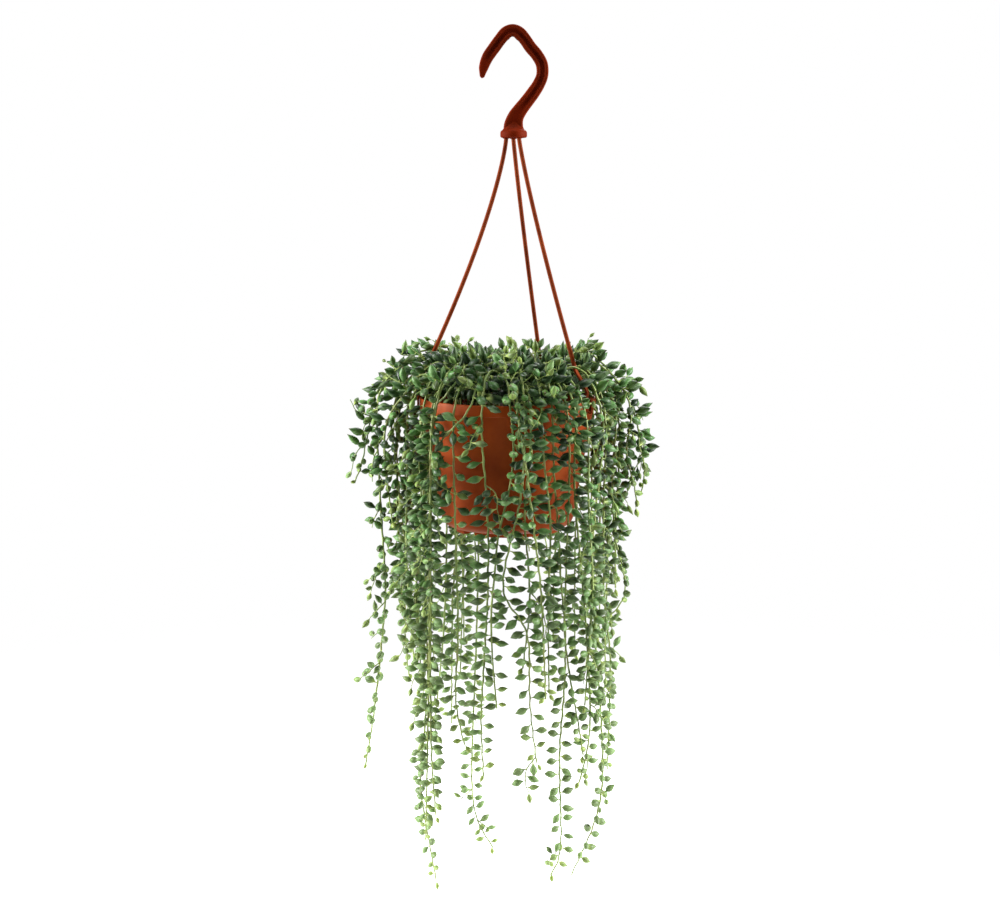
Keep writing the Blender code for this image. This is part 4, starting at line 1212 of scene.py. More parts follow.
def leafMaterial():
    finishes = leafFinish
    material, bench, shader = newMaterial("leafSkin", {
        "IOR": 1.42, "Specular IOR Level": 0.3,
        "Subsurface Weight": 0.08, "Subsurface Radius": (0.5, 1.0, 0.3), "Subsurface Scale": 0.001,
        "Sheen Weight": 0.03, "Sheen Roughness": 0.4, "Sheen Tint": (0.80, 0.92, 0.84, 1.0),
    })
    place = bench.attribute("leafPlace", "Vector")
    tone = bench.attribute("tone")
    across, up, along = bench.separate(place)
    # every leaf reads its own patch of the noises
    shift = bench.combine(X=tone * 37.0, Y=tone * 61.0, Z=tone * 83.0)
    own = bench.vector("ADD", {0: place, 1: shift})
    streaks = bench.noise(bench.stretched(own, (9.0, 9.0, 0.9)), 2.4, 2.0)
    cloud = bench.noise(own, 2.1, 4.0, 0.6)
    bloomMask = bench.step(cloud, 0.36, 0.72) * bench.step(along, 0.16, 0.45)
    freshness = bench.step(tone + (cloud - 0.5) * 0.6, 0.1, 1.0)
    body = bench.mix(freshness, finishes["deep"], finishes["fresh"])
    body = bench.mix(bench.step(streaks, 0.48, 0.75) * 0.34, body, finishes["fresh"])
    # a third of the leaves carry most of the waxy bloom, and the dark ones, among them those in painted
    # shade deep in the crown, have little of it
    bloomy = bench.step(bench.noise(shift, 3.1, 1.0), 0.45, 0.62)
    kept = bench.step(tone, 0.0, 0.35, 0.3, 1.0)
    body = bench.mix(bloomMask * (0.12 + 0.5 * bloomy) * kept, body, finishes["bloom"])
    # the leaves lower down are painted paler: painted light that the open lower strands get
    height = bench.separate(bench.objectPlace())[2]
    low = bench.step(height, *finishes["paintedLightHeights"], 1.0, 0.0)
    body = bench.mix(low * finishes["paintedLightMix"], body, finishes["low"])
    below = bench.step(0.05 - up, 0.0, 0.45)
    body = bench.mix(below * 0.4, body, finishes["under"])
    # the leaf's margins turn paler: partly the waxy bloom, partly a painted sheen along the edges
    bloomAndSheenEdge = bench.step(across * across, 0.12, 0.25)
    body = bench.mix(bloomAndSheenEdge * 0.22, body, finishes["bloom"])
    body = bench.mix(bench.attribute("youth") * 0.8, body, finishes["young"])
    # the pale foot of the leaf, a short one on most and a long fade on some
    foot = finishes["foot"] + finishes["longFoot"] * bench.step(bench.noise(shift, 5.7, 1.0), 0.48, 0.62)
    body = bench.mix((1 - bench.step(along / foot, 0.35, 1.15)) * 0.92, body, finishes["petiole"])
    tipShade = bench.step(along, 0.86, 0.985) * bench.step(cloud + tone * 0.4, 0.45, 0.8)
    body = bench.mix(tipShade * 0.85, body, finishes["tip"])
    roughness = 0.33 + bloomMask * (0.1 + 0.2 * bloomy) + streaks * 0.08
    finish(bench, shader, body, roughness, streaks * 0.6 + cloud * 0.6, 0.00025, 0.6)
    return material


def stemMaterial():
    material, bench, shader = newMaterial("stemSkin", {
        "Specular IOR Level": 0.4, "Subsurface Weight": 0.08,
        "Subsurface Radius": (0.5, 1.0, 0.3), "Subsurface Scale": 0.0008,
    })
    youth = bench.attribute("youth")
    place = bench.objectPlace()
    patches = bench.noise(place, 38.0, 3.0)
    fibres = bench.noise(bench.stretched(place, (1.0, 1.0, 0.12)), 1400.0, 2.0)
    body = bench.mix(bench.step(patches, 0.35, 0.68), stemFinish["light"], stemFinish["green"])
    elsewhere = bench.vector("ADD", {0: place, 1: (3.0, 1.0, 2.0)})
    brown = bench.step(bench.noise(elsewhere, 21.0, 2.0), 0.5, 0.75)
    body = bench.mix(brown * (1 - youth) * 0.6, body, stemFinish["brown"])
    body = bench.mix(youth * 0.25, body, leafFinish["young"])
    body = bench.mix(fibres * 0.22, body, stemFinish["green"])
    finish(bench, shader, body, 0.42 + fibres * 0.2, fibres, 0.0002, 0.5)
    return material


def pieceName(node):
    side, *rest = node.split("_")
    return side + "".join(word.capitalize() for word in rest)


def buildVines():
    # all stems and twigs first, so that every leaf knows what it must keep clear of
    lines = settle(stemLines())
    draw = np.random.default_rng(foliage["seed"])
    # a ball's owner is its vine's number, and less than 0 where it has none
    crowd = Crowd(crowding["room"])
    crowd.add(fixedPoints(), hanger["rodRadius"] + 0.6, -2)
    closed = clearings()
    crowd.add(*closed, -3, crowding["windowWeight"])
    growths = {}
    for number, (name, line) in enumerate(lines.items()):
        strands = [(*strandOf(line, foliage["crownStemRadius"], foliage["tipStemRadius"], True), True)]
        for twig in sideTwigs(name, line, closed, draw):
            strands.append((*strandOf(twig, twigs["stemRadius"], twigs["tipRadius"], False), False))
        growths[name] = strands
        for fine, _, radius, _ in strands:
            crowd.add(fine, radius + 0.2, number)
    print("routes and twigs ready:", sum(len(s) for s in growths.values()), "strands")
    tree = vineTree()
    finishes = {"Stem Material": stemMaterial(), "Leaf Material": leafMaterial()}
    leafCount = triangles = 0
    for number, (name, strands) in enumerate(growths.items()):
        leaves, drawn = [], []
        for fine, run, radius, main in strands:
            leaves += leavesAlong(name, number, fine, run, radius, main, crowd, draw)
            toTip = run[-1] - run
            youth = np.clip(1.0 - toTip / 40.0, 0, 1) if main else np.clip(0.7 - toTip / 40.0, 0.15, 1)
            drawn.append((fine, radius, youth))
        mesh = grown(growthMesh(name + "_growth", drawn, leaves), tree, finishes)
        addPiece(pieceName(name), mesh, [name])
        leafCount += len(leaves)
        triangles += sum(len(face.vertices) - 2 for face in mesh.polygons)
    print("vines grown:", leafCount, "leaves,", triangles, "triangles")


potFinish = {
    "body": colour(150, 63, 15),
    "shade": colour(122, 45, 7),
    "pale": colour(174, 94, 46),
    "roughness": 0.5,
    # heights in the frame, in metres, where the lime begins and is full
    "limeTop": (-0.325, -0.306),
    "limeFoot": (-0.412, -0.398),
}
# Small roundings and insets of the turned wall, and the pot's cutting tools
potEdges = {
    "rim": 0.8,
    "band": 0.7,
    "bandInset": 0.35,
    "foot": 0.8,
    "footInset": 0.4,
    "innerRim": 0.5,
    "floorCentre": 20.0,
    "holeCut": 12.0,
    "notchCut": 18.0,
    "sharpAngle": 28,
}


def arc(centre, radius, start, end, count):
    turns = np.radians(np.linspace(start, end, count))
    return [(centre[0] + radius * math.cos(t), centre[1] + radius * math.sin(t)) for t in turns]


def turnedMesh(profile, segments, name):
    # a closed solid of revolution from (radius, height) points; points on the axis become poles
    vertices, rings = [], []
    for radius, height in profile:
        if radius < 1e-6:
            rings.append([len(vertices)])
            vertices.append((0.0, 0.0, height))
        else:
            rings.append(list(range(len(vertices), len(vertices) + segments)))
            vertices += [tuple(polar(radius, 360 * k / segments, height)) for k in range(segments)]
    faces = []
    pairs = list(zip(rings, rings[1:]))
    if len(rings[0]) > 1 and len(rings[-1]) > 1:
        pairs.append((rings[-1], rings[0]))
    for first, second in pairs:
        for k in range(segments):
            n = (k + 1) % segments
            if len(first) == 1:
                faces.append((first[0], second[k], second[n]))
            elif len(second) == 1:
                faces.append((first[k], second[0], first[n]))
            else:
                faces.append((first[k], second[k], second[n], first[n]))
    return meshOf(vertices, faces, name)


def outwards(mesh):
    shape = bmesh.new()
    shape.from_mesh(mesh)
    bmesh.ops.remove_doubles(shape, verts=shape.verts, dist=1e-6)
    bmesh.ops.recalc_face_normals(shape, faces=shape.faces)
    shape.to_mesh(mesh)
    shape.free()
    return mesh


def movedTo(place):
    # the move of a cutting tool to a rim-centred place
    return Matrix.Translation(Vector((place + rimCentre) * mm))


def cylinderAt(place, radius, depth):
    shape = bmesh.new()
    bmesh.ops.create_cone(shape, cap_ends=True, segments=40, radius1=radius * mm, radius2=radius * mm,
                          depth=depth * mm, matrix=movedTo(place))
    return shape


def boxAt(place, size, azimuth):
    shape = bmesh.new()
    bmesh.ops.create_cube(shape, size=1.0)
    bmesh.ops.scale(shape, verts=shape.verts, vec=Vector(size) * mm)
    turn = Matrix.Rotation(math.radians(azimuth), 4, "Z")
    bmesh.ops.transform(shape, matrix=movedTo(place) @ turn, verts=shape.verts)
    return shape


def cutFrom(mesh, shapes):
    # the mesh with several shapes cut out of it
    home = linked("cutting", mesh)
    cutters = [linked("tool", shapeMesh(shape, "tool")) for shape in shapes]
    for cutter in cutters:
        step = home.modifiers.new("cut", "BOOLEAN")
        step.operation = "DIFFERENCE"
        step.object = cutter
    return finalMesh(home, *cutters)


def potMaterial():
    warm = {"Specular IOR Level": 0.14, "Specular Tint": (1.0, 0.72, 0.55, 1.0)}
    material, bench, shader = newMaterial("pottedPlastic", warm)
    place = bench.objectPlace()
    cloud = bench.noise(place, 22.0, 5.0, 0.6)
    specks = bench.noise(place, 620.0, 2.0, 0.5)
    runs = bench.noise(bench.stretched(place, (1.0, 1.0, 0.06)), 120.0, 4.0)
    height = bench.separate(place)[2]
    body = bench.mix(bench.step(cloud, 0.3, 0.72), potFinish["body"], potFinish["shade"])
    body = bench.mix(bench.step(specks, 0.58, 0.72) * 0.35, body, potFinish["shade"])
    # lime left by watering, near the rim band and the foot
    top = bench.step(height, *potFinish["limeTop"])
    foot = 1 - bench.step(height, *potFinish["limeFoot"])
    lime = bench.step(runs, 0.52, 0.8) * (0.07 + 0.18 * top + 0.28 * foot)
    body = bench.mix(lime, body, potFinish["pale"])
    roughness = potFinish["roughness"] + lime * 0.25 + (specks - 0.5) * 0.12
    grain = specks * 0.5 + bench.noise(place, 1500.0, 2.0) * 0.5
    finish(bench, shader, body, roughness, grain, 0.00012, 0.5)
    return material


def potProfile():
    # the pot's section as (radius, height) points: up the inside from the floor's middle, down the outside
    pot, edges = potShape, potEdges
    rim, step, wall, floor = pot["rimRadius"], pot["bandStep"], pot["wall"], pot["floorThickness"]
    band, bottom, bend = -pot["bandHeight"], -pot["height"], pot["cornerRadius"]
    footOuter, footInner = pot["footOuterRadius"], pot["footInnerRadius"]
    underside = bottom + pot["footHeight"]
    cornerHeight = underside + bend
    corner = wallRadius(-cornerHeight) - bend
    lean = math.degrees(math.atan(pot["taper"]))
    rimRound, bandRound, inset = edges["rim"], edges["band"], edges["bandInset"]
    footRound, footInset, innerRound = edges["foot"], edges["footInset"], edges["innerRim"]

    outside = arc((rim - rimRound, -rimRound), rimRound, 90, 0, 5)
    outside += arc((rim - bandRound, band + bandRound), bandRound, 0, -90, 5)
    outside += [(rim - step + inset, band), (rim - step - 0.05, band - inset)]
    outside += [(wallRadius(drop), -drop) for drop in np.linspace(6 - band, -cornerHeight - 2, 12)]
    outside += arc((corner, cornerHeight), bend, -lean, -90.0, 12)
    outside += [(footOuter + 1.0, underside), (footOuter + footInset, underside - footInset)]
    outside += arc((footOuter - footRound, bottom + footRound), footRound, 0, -90, 4)
    outside += arc((footInner + footRound, bottom + footRound), footRound, -90, -180, 4)
    outside += [(footInner - footInset, underside - footInset), (footInner - 1.0, underside)]
    outside += [(edges["floorCentre"], underside), (0.0, underside)]
    inside = [(0.0, underside + floor), (edges["floorCentre"], underside + floor)]
    inside += arc((corner, cornerHeight + floor - wall), bend - wall, -90.0, -lean, 8)
    inside += [(rim - step - wall, band - 1.5), (rim - wall - 0.3, band + 1.0)]
    inside += [(rim - wall, band + 2.0), (rim - wall, -1.0)]
    inside += arc((rim - wall + innerRound, -innerRound), innerRound, 180, 90, 4)
    return inside + outside


def buildPot():
    pot = potShape
    mesh = outwards(turnedMesh(potProfile(), pot["segments"], "pot"))
    tools = []
    for hole in range(pot["drainHoles"]):
        azimuth = 360 * hole / pot["drainHoles"]
        place = polar(pot["drainCircleRadius"], azimuth, pot["footHeight"] - pot["height"])
        tools.append(cylinderAt(place, pot["drainHoleRadius"], potEdges["holeCut"]))
    middle = (pot["footOuterRadius"] + pot["footInnerRadius"]) / 2
    size = (potEdges["notchCut"], pot["footNotchWidth"], 2 * (pot["footHeight"] - potEdges["footInset"]))
    for notch in range(pot["footNotches"]):
        azimuth = 45 + 360 * notch / pot["footNotches"]
        tools.append(boxAt(polar(middle, azimuth, -pot["height"]), size, azimuth))
    mesh = smoothed(cutFrom(mesh, tools), potEdges["sharpAngle"])
    mesh.materials.clear()
    mesh.materials.append(potMaterial())
    addPiece("potShell", mesh, ["pot"])
    print("pot turned:", len(mesh.polygons), "faces")


soilFinish = {
    "dark": colour(44, 32, 26),
    "brown": colour(82, 62, 46),
    "bark": colour(116, 84, 58),
    "stone": colour(214, 208, 196),
    "grainSpacing": 0.0024,
    "grainSize": (0.0009, 0.0026),
    # each kind of grain: its first seed, its material, its share of the places and its proportions
    "grains": ((0, "Bark", 0.8, (1.0, 0.5, 0.28)), (9, "Stone", 0.05, (0.8, 0.7, 0.6))),
    "grainInset": 3.0,
    "grainSink": 0.2,
    "seed": 5,
    "sink": 0.5,
    "rings": 34,
    "segments": 96,
    "waves": 26,
    "waveRates": (0.04, 0.35),
    "waveHeight": 0.32,
    "calmEdge": 5.0,
    "underGap": 0.3,
}


def soilMaterial(name, dark, light, scale):
    material, bench, shader = newMaterial(name, {"Specular IOR Level": 0.25})
    place = bench.objectPlace()
    fine = bench.noise(place, scale, 6.0, 0.7)
    coarse = bench.noise(place, scale / 7, 3.0)
    body = bench.mix(bench.step(fine, 0.35, 0.7), soilFinish[dark], soilFinish[light])
    body = bench.mix(bench.step(coarse, 0.4, 0.7) * 0.5, body, soilFinish[dark])
    finish(bench, shader, body, 0.82 + fine * 0.15, fine, 0.0006, 0.8)
    return material


def grainTree():
    # bark chips and mineral grains spread over the soil's top
    smallest, largest = soilFinish["grainSize"]
    tree, bench, inputs = newTree("soilGrains", [
        ("Spacing", "Float", soilFinish["grainSpacing"]), ("Smallest", "Float", smallest),
        ("Largest", "Float", largest), ("Seed", "Int", soilFinish["seed"]),
        ("Bark", "Material", None), ("Stone", "Material", None),
    ])

    def random(kind, low, high, seed):
        # the sockets of a vector's limits are 0 and 1, and those of a number's are 2 and 3
        first = 0 if kind == "FLOAT_VECTOR" else 2
        values = {first: low, first + 1: high, "Seed": seed}
        return bench.add("FunctionNodeRandomValue", {"data_type": kind}, values)

    piles = []
    for seed, material, share, stretch in soilFinish["grains"]:
        points = bench.geometry("DistributePointsOnFaces", {
            "Mesh": inputs["Geometry"], "Distance Min": inputs["Spacing"], "Density Max": 260000.0,
            "Density Factor": share, "Seed": inputs["Seed"] + float(seed),
        }, {"distribute_method": "POISSON"}, "Points")
        size = random("FLOAT", inputs["Smallest"], inputs["Largest"], seed + 1)
        shape = random("FLOAT_VECTOR", tuple(0.6 * s for s in stretch), stretch, seed + 2)
        scale = bench.vector("SCALE", {0: shape, 3: size})
        spin = random("FLOAT_VECTOR", (-0.5, -0.5, 0.0), (0.5, 0.5, fullTurn), seed + 3)
        turn = bench.add("FunctionNodeEulerToRotation", None, {"Euler": spin})
        grain = bench.geometry("MeshIcoSphere", {"Radius": 1.0, "Subdivisions": 1})
        pile = bench.copies(points, {"Instance": grain, "Rotation": turn, "Scale": scale})
        piles.append(bench.painted(pile, inputs[material]))
    whole = bench.geometry("JoinGeometry", {"Geometry": piles})
    bench.add("NodeGroupOutput", None, {"Geometry": whole})
    return tree


def soilMesh(edge, side):
    # the soil's body: a flat top out to its edge, and a side that follows the pot's wall to its floor
    pot = potShape
    depth = pot["soilDepth"]
    bottom = pot["height"] - pot["footHeight"] - pot["floorThickness"]
    low = bottom - pot["cornerRadius"]
    lowRadius = wallRadius(low) - side
    top = [(edge * share, -depth - soilFinish["sink"]) for share in np.linspace(0, 1, soilFinish["rings"])]
    floor = -(bottom - soilFinish["underGap"])
    below = [(wallRadius(depth + 2) - side, -depth - 2.5), (lowRadius, -low)]
    below += [(lowRadius - 4.5, -(bottom - 3.5)), (lowRadius - 10.0, floor), (0.0, floor)]
    return outwards(turnedMesh(top + below, soilFinish["segments"], "soil"))


def buildSoil():
    depth = potShape["soilDepth"]
    side = potShape["wall"] + 2 * stems["gap"]
    edge = wallRadius(depth) - side
    mesh = soilMesh(edge, side)
    draw = np.random.default_rng(soilFinish["seed"])
    waveLimits = (soilFinish["waveRates"], (0, fullTurn), (0, fullTurn))
    waves = [[draw.uniform(*limits) for limits in waveLimits] for _ in range(soilFinish["waves"])]
    for vertex in mesh.vertices:
        x, y, height = np.array(vertex.co) / mm - rimCentre
        if height > -depth - 1.0:
            lift = 0.0
            for rate, turn, start in waves:
                lift += math.sin(rate * (x * math.cos(turn) + y * math.sin(turn)) + start) / (1 + 6 * rate)
            fade = min(1.0, (edge - math.hypot(x, y)) / soilFinish["calmEdge"])
            vertex.co.z += lift * soilFinish["waveHeight"] * fade * mm
    smoothed(mesh, 50)
    mesh.materials.append(soilMaterial("soilBed", "dark", "brown", 900.0))
    addPiece("pottingSoil", mesh, ["soil"])
    centre = (rimCentre + (0, 0, -depth - soilFinish["grainSink"])) * mm
    bed = linked("grainBed", discMesh("bed", (edge - soilFinish["grainInset"]) * mm, centre, 64))
    grains = grown(bed, grainTree(), {
        "Bark": soilMaterial("barkChip", "brown", "bark", 700.0),
        "Stone": soilMaterial("mineralGrain", "bark", "stone", 400.0),
    })
    addPiece("soilGrains", grains)
    print("soil laid:", len(mesh.polygons), "faces and", len(grains.polygons), "faces of grains")


# The hook's middle line from its foot to its tip: x, height and width
hookLine = [
    (1.5, -79.0, 17.2), (1.4, -72.5, 16.0), (3.2, -65.8, 13.6), (7.0, -59.8, 12.0), (12.2, -53.2, 11.2),
    (17.2, -46.6, 11.0), (22.0, -39.4, 10.4), (25.2, -31.5, 10.0), (24.8, -22.6, 10.0), (20.7, -15.1, 10.0),
    (15.2, -8.7, 10.0), (10.8, -2.4, 10.0), (6.2, 2.8, 10.0), (0.6, 4.9, 10.0), (-5.0, 3.0, 10.0),
    (-9.1, -1.7, 10.0), (-15.1, -9.7, 10.0), (-20.2, -17.0, 9.6), (-23.4, -25.0, 8.0), (-25.0, -34.0, 5.0),
]
# How the neck flares into the round foot: x, height, width and thickness
hookFlare = [
    (3.1, -66.0, 12.0, 5.4), (2.6, -68.0, 13.4, 6.5), (2.0, -70.0, 14.4, 7.1), (1.6, -71.8, 15.0, 7.9),
    (1.5, -73.4, 15.7, 9.5), (1.5, -74.6, 16.5, 11.8), (1.5, -75.4, 17.3, 14.2), (1.5, -76.0, 18.2, 16.6),
    (1.5, -76.5, 19.2, 18.6), (1.5, -77.2, 19.6, 19.2),
]
# A quarter of the hook's section from the middle of a face to its edge: across and up as shares of half
# the width and thickness, how much of the groove's depth it has, and how much painted highlight it gets
hookQuarter = [
    (0.0, 1.0, 1.0, 0.0), (0.20, 1.0, 0.97, 0.0), (0.34, 1.0, 0.8, 0.05), (0.45, 1.0, 0.4, 0.2),
    (0.54, 1.0, 0.08, 0.5), (0.66, 1.0, 0.0, 0.5), (0.82, 0.97, 0.0, 0.7), (0.92, 0.86, 0.0, 1.0),
    (0.98, 0.66, 0.0, 0.9), (1.0, 0.36, 0.0, 0.6),
]
hookFinish = {
    "step": 0.9,
    "groove": (14.0, 13.0),
    "grooveFades": (16.0, 12.0),
    "shoulder": 0.7,
    "shoulderRun": 7.2,
    "shoulderWidth": 2.9,
    "tipRound": 2.0,
    "tipRun": 8.0,
    "tipShares": (0.68, 0.8),
}
# The flange's roundings, and the collar round each rod as its radius, rise, fall and rounding
flange = {
    "topInset": 0.2,
    "topFlat": 6.0,
    "topRound": 2.8,
    "footRound": 1.6,
    "collar": (2.9, 1.0, 0.7, 0.4),
}
plastics = {
    "worn": colour(122, 42, 10),
    "hookPlastic": {"body": colour(94, 20, 1), "deep": colour(70, 12, 0), "roughness": 0.62},
    "rodPlastic": {"body": colour(118, 50, 20), "deep": colour(88, 32, 10), "roughness": 0.56},
}


def plasticMaterial(name):
    finishes = plastics[name]
    warm = {"Specular IOR Level": 0.06, "Specular Tint": (1.0, 0.5, 0.32, 1.0)}
    material, bench, shader = newMaterial(name, warm)
    place = bench.objectPlace()
    cloud = bench.noise(place, 45.0, 4.0, 0.6)
    specks = bench.noise(place, 700.0, 2.0)
    base = bench.mix(bench.step(cloud, 0.3, 0.7), finishes["body"], finishes["deep"])
    # the edge share paints the rounded edges, the flange and the collars paler: a painted highlight, least
    # in the groove
    edge = bench.attribute("edge")
    base = bench.mix(edge * 0.42 * bench.step(cloud, 0.2, 0.7, 1.0, 0.5), base, plastics["worn"])
    base = bench.mix(bench.step(specks, 0.6, 0.75) * 0.12, base, finishes["deep"])
    roughness = finishes["roughness"] + (cloud - 0.5) * 0.16 + edge * 0.08
    finish(bench, shader, base, roughness, specks, 0.00003, 0.3)
    return material


def sweep(centres, acrosses, ups, sections, edges):
    # a closed skin through rings: each section is a list of (across, up) offsets from its centre
    vertices, faces, wear = [], [], []
    count = len(sections[0])
    for centre, across, up, section in zip(centres, acrosses, ups, sections):
        vertices += [centre + across * a + up * b for a, b in section]
        wear += edges
    last = (len(centres) - 1) * count
    pairs = [(k, (k + 1) % count) for k in range(count)]
    for a in range(0, last, count):
        b = a + count
        faces += [(a + k, a + n, b + n, b + k) for k, n in pairs]
    for a in (0, last):
        pole = len(vertices)
        vertices.append(np.mean(vertices[a:a + count], axis=0))
        wear.append(0.4)
        faces += [(a + k, a + n, pole) for k, n in pairs]
    return vertices, faces, wear


def skinMesh(parts, name):
    # several closed skins as one mesh, with how much painted highlight each place gets
    vertices, faces, wear = [], [], []
    for points, sides, edge in parts:
        start = len(vertices)
        vertices += list(points)
        faces += [tuple(start + k for k in face) for face in sides]
        wear += list(edge)
    mesh = meshOf(vertices, faces, name)
    layer = mesh.attributes.new("edge", "FLOAT", "POINT")
    layer.data.foreach_set("value", np.array(wear, float))
    return outwards(mesh)


def allRound(quarter):
    # a whole section from a quarter of it, as (across, up, anything else) points
    section = quarter + [(a, -b, *rest) for a, b, *rest in quarter[::-1]]
    section += [(-a, -b, *rest) for a, b, *rest in quarter[1:]]
    return section + [(-a, b, *rest) for a, b, *rest in quarter[:0:-1]]


def hookSection(width, thickness, groove):
    # a rounded flat section with a groove along both faces
    half, high = width / 2, thickness / 2
    deep = hanger["grooveDepth"] * groove
    return allRound([(across * half, up * high - share * deep) for across, up, share, _ in hookQuarter])


def hookBody():
    # the hook's bent bar, its groove fading out at both ends and its tip rounded
    step = hookFinish["step"]
    line = smoothLine(hookLine, step)
    flat = np.column_stack([line[:, 0], np.zeros(len(line)), line[:, 1]])
    across = np.cross(units(np.gradient(flat, axis=0)), (0.0, 1.0, 0.0))
    run = np.arange(len(line)) * step
    ending = run[-1] - run
    start, end = hookFinish["groove"]
    fadeIn, fadeOut = hookFinish["grooveFades"]
    groove = ramp(run - start, fadeIn) * ramp(ending[0] - end - run, fadeOut)
    # small shoulders on the inside, at both ends of the seat
    top = run[np.argmax(flat[:, 2])]
    inner = np.zeros(len(line))
    for shoulder in (top - hookFinish["shoulderRun"], top + hookFinish["shoulderRun"]):
        inner += hookFinish["shoulder"] * np.exp(-(((run - shoulder) / hookFinish["shoulderWidth"]) ** 2))
    rounding = np.sqrt(np.clip(1 - (1 - ramp(ending, hookFinish["tipRound"])) ** 2, 0.02, 1))
    toTip = ramp(ending, hookFinish["tipRun"])
    wide, high = hookFinish["tipShares"]
    widths = line[:, 2] * rounding * (wide + (1 - wide) * toTip)
    thick = hanger["hookThickness"] * rounding * (high + (1 - high) * toTip)
    sections = []
    for width, thickness, depth, swell in zip(widths, thick, groove, inner / 5.0):
        section = hookSection(width, thickness, depth)
        sections.append([(a * (1 + (swell if a > 0 else 0.0)), b) for a, b in section])
    wear = [worn for *_, worn in allRound(hookQuarter)]
    return sweep(flat - rimCentre, across, [np.array([0.0, 1.0, 0.0])] * len(line), sections, wear)


def buildHook():
    middle = np.array([hanger["flangeX"], 0.0, 0.0]) - rimCentre
    top, radius = hanger["flangeTop"], hanger["flangeRadius"]
    bottom = top - hanger["flangeHeight"]
    # the flange is a round foot that swells out of the hook's neck, with a collar round each rod
    inset, topRound, footRound = flange["topInset"], flange["topRound"], flange["footRound"]
    profile = [(0.0, top - inset), (flange["topFlat"], top - inset)]
    profile += arc((radius - topRound, top - inset - topRound), topRound, 90, 0, 9)
    profile += arc((radius - footRound, bottom + footRound), footRound, -8, -90, 6)
    profile += [(4.0, bottom), (0.0, bottom)]
    parts = [hookBody(), turnedPart(profile, middle, 72, 0.5)]
    flare = np.array(hookFlare)
    necks = np.column_stack([flare[:, 0], np.zeros(len(flare)), flare[:, 1]]) - rimCentre
    rings = [roundedSection(w, t, 0.0, 48) for w, t in flare[:, 2:]]
    sides, ups = [[np.array(way)] * len(flare) for way in ((1.0, 0.0, 0.0), (0.0, 1.0, 0.0))]
    parts.append(sweep(necks, sides, ups, rings, [0.35] * 48))
    collar, rise, fall, collarRound = flange["collar"]
    bend = (collar - collarRound, bottom - fall + collarRound)
    profile = [(0.0, bottom + rise), (collar, bottom + rise), (collar, bend[1])]
    profile += arc(bend, collarRound, 0, -90, 3) + [(0.0, bottom - fall)]
    for rod in rods.values():
        place = polar(hanger["rodCircleRadius"], rod["socketAzimuth"]) + middle
        parts.append(turnedPart(profile, place, 32, 0.5))
    mesh = smoothed(skinMesh(parts, "hook"), 40)
    mesh.materials.append(plasticMaterial("hookPlastic"))
    addPiece("hangerHook", mesh, ["hook"])
    print("hook swept:", len(mesh.polygons), "faces")


def turnedPart(profile, middle, segments, wear):
    mesh = turnedMesh(profile, segments, "turned")
    points = [np.array(v.co) / mm - rimCentre + middle for v in mesh.vertices]
    faces = [tuple(face.vertices) for face in mesh.polygons]
    bpy.data.meshes.remove(mesh)
    return points, faces, [wear] * len(points)


def roundedSection(width, thickness, squareness, count):
    # from a circle (squareness 0) to a flat bar with rounded edges (squareness 1)
    power = 2.0 + 3.0 * squareness
    section = []
    for k in range(count):
        turn = fullTurn * k / count
        c, s = math.cos(turn), math.sin(turn)
        section.append((width / 2 * math.copysign(abs(c) ** (2 / power), c),
                        thickness / 2 * math.copysign(abs(s) ** (2 / power), s)))
    return section


def barAlong(points, widths, thicknesses, squares, across, count=20):
    # a bar swept along points; across is the fixed direction of its width
    along = units(np.gradient(points, axis=0))
    ups = units(np.cross(along, across))
    acrosses = np.cross(ups, along)
    sections = [roundedSection(w, t, s, count) for w, t, s in zip(widths, thicknesses, squares)]
    wear = [0.45 * abs(math.cos(fullTurn * k / count)) ** 4 for k in range(count)]
    return sweep(points, acrosses, ups, sections, wear)


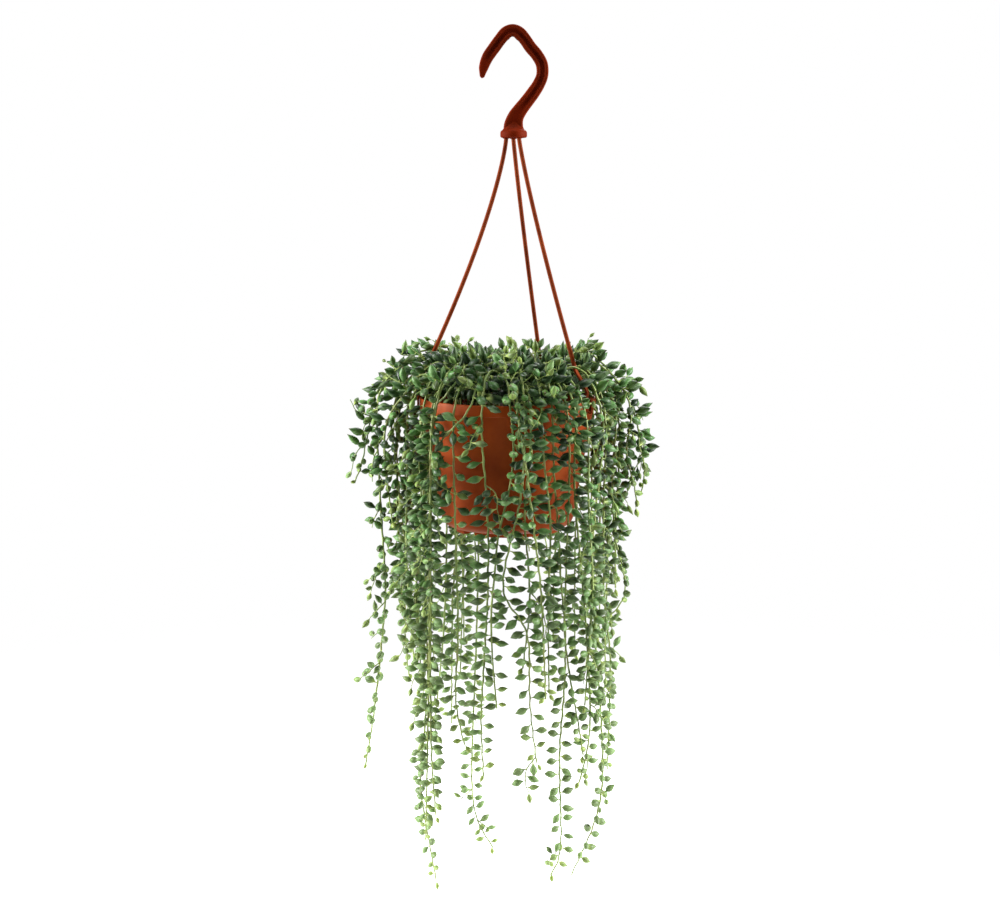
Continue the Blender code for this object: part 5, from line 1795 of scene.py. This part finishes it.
def buildRod(side, rod, material):
    # a round rod that widens to its strap, the clip over the rim, and the barb under the rim band
    azimuth, strapTop, knee = rod["azimuth"], hanger["strapTop"], hanger["strapKnee"]
    rim, gap, thick = potShape["rimRadius"], stems["gap"], hanger["strapThickness"]
    band, topRadius = -potShape["bandHeight"], rod["strapTopRadius"]
    across = polar(1.0, azimuth + 90)
    middle = rim - potShape["wall"] - 2 * gap - thick / 2
    outer = rim + gap + thick / 2
    top = gap + thick / 2

    def route(*stops):
        return [polar(radius, azimuth, height) for radius, height in stops]

    strap = route((topRadius, strapTop - 1.0), ((topRadius + middle) / 2, (strapTop + knee) / 2),
                  (middle, knee), (middle, 2.0), (middle, -hanger["clipLegDepth"]))
    points = smoothLine(np.vstack([rodLine(**rod, count=40)[:-1], strap]), 2.2)
    share = ramp(strapTop + 10.0 - points[:, 2], 14.0)
    share = share * share * (3 - 2 * share)
    widths = 2 * hanger["rodRadius"] * (1 - share) + hanger["strapWidth"] * share
    thicks = 2 * hanger["rodRadius"] * (1 - share) + thick * share
    clip = route(
        (middle, top - 0.3), (middle + 0.9, top), (outer - 1.0, top), (outer - 0.2, top - 0.4),
        (outer, top - 1.4), (outer, band + 1.0), (outer, band - 0.6), (outer - 0.5, band - 1.3),
    )
    clip = smoothLine(clip, 0.7)
    count = len(clip)
    taper = np.clip((count - 1 - np.arange(count)) / 2.0, 0.55, 1)
    barbHeight = band - gap - 0.75
    barb = np.linspace(*route((rim - hanger["clipBarb"] + 0.1, barbHeight), (outer, barbHeight)), 5)
    parts = [
        barAlong(points, widths, thicks, share, across),
        barAlong(clip, hanger["clipWidth"] * taper, thick * taper, np.ones(count), across),
        barAlong(barb, np.full(5, 4.4), np.array([0.6, 0.9, 1.2, 1.4, 1.4]), np.ones(5), across),
    ]
    mesh = smoothed(skinMesh(parts, "rod"), 45)
    mesh.materials.append(material)
    addPiece("hangerRod" + side, mesh, ["rod_" + side.lower()])
    return len(mesh.polygons)


def buildRods():
    material = plasticMaterial("rodPlastic")
    faces = sum(buildRod(side, rod, material) for side, rod in rods.items())
    print("rods swept:", faces, "faces")


studio = {
    "floorHeight": -0.86,
    "floorRadius": 1.6,
    "floorClear": 0.25,
    "floorTone": 0.93,
    "backdrop": 1.0,
    "fill": 0.12,
    "lens": 63.68,
    "cameraPlace": (-0.0099, -1.5, -0.1434),
    "cameraPitch": 7.9,
    "lampTarget": (0.0, 0.0, -0.4),
}
lamps = {
    "keyLeft": {"place": (-1.75, -0.04, 0.02), "size": 1.1, "power": 96.0},
    "keyRight": {"place": (1.8, -0.02, 0.06), "size": 1.1, "power": 92.0},
    "top": {"place": (0.0, -0.16, 1.7), "size": 1.1, "power": 44.0},
    "back": {"place": (0.3, 1.6, 0.8), "size": 1.2, "power": 26.0},
}


def buildFloor():
    mesh = discMesh("studioFloor", studio["floorRadius"], (0.0, 0.0, studio["floorHeight"]), 96)
    material, bench, shader = newMaterial("paleFloor", {"Roughness": 0.9, "Specular IOR Level": 0.1})
    tone = studio["floorTone"]
    shader.inputs["Base Color"].default_value = (tone, tone, tone, 1.0)
    # the floor fades out from under the object to its edge
    flat = bench.vector("MULTIPLY", {0: bench.objectPlace(), 1: (1.0, 1.0, 0.0)})
    far = bench.vector("LENGTH", {0: flat}, "Value")
    fade = bench.step(far, studio["floorClear"], studio["floorRadius"], 1.0, 0.0)
    bench.plug(shader.inputs["Alpha"], fade)
    mesh.materials.append(material)
    linked("studioFloor", mesh)


def buildWorld():
    # the eye sees a white backdrop, and the object is lit by a dimmer one
    world = bpy.data.worlds.new("studioWorld")
    world.use_nodes = True
    bench = Bench(world.node_tree)
    white = (1.0, 1.0, 1.0, 1.0)
    seen = bench.add("ShaderNodeBackground", None, {"Color": white, "Strength": studio["backdrop"]})
    fill = bench.add("ShaderNodeBackground", None, {"Color": white, "Strength": studio["fill"]})
    isSeen = bench.add("ShaderNodeLightPath", None, None, "Is Camera Ray")
    both = bench.add("ShaderNodeMixShader", None, {0: isSeen, 1: fill, 2: seen})
    bench.plug(world.node_tree.nodes["World Output"].inputs["Surface"], both)
    bpy.context.scene.world = world


def buildStudio():
    buildFloor()
    buildWorld()
    for name, lamp in lamps.items():
        light = bpy.data.lights.new(name, "AREA")
        light.shape = "DISK"
        light.size = lamp["size"]
        light.energy = lamp["power"]
        stand = linked(name, light)
        stand.location = lamp["place"]
        aim = Vector(studio["lampTarget"]) - Vector(lamp["place"])
        stand.rotation_euler = aim.to_track_quat("-Z", "Y").to_euler()
    lens = bpy.data.cameras.new("viewCamera")
    lens.sensor_fit = "HORIZONTAL"
    lens.sensor_width = 36.0
    lens.lens = studio["lens"]
    lens.clip_start = 0.05
    lens.clip_end = 50.0
    camera = linked("viewCamera", lens)
    camera.location = studio["cameraPlace"]
    camera.rotation_euler = (math.radians(90.0 - studio["cameraPitch"]), 0.0, 0.0)
    bpy.context.scene.camera = camera
    bpy.context.scene.view_settings.view_transform = "Standard"
    print("studio ready")


buildStudio()
buildHook()
buildRods()
buildPot()
buildSoil()
buildVines()
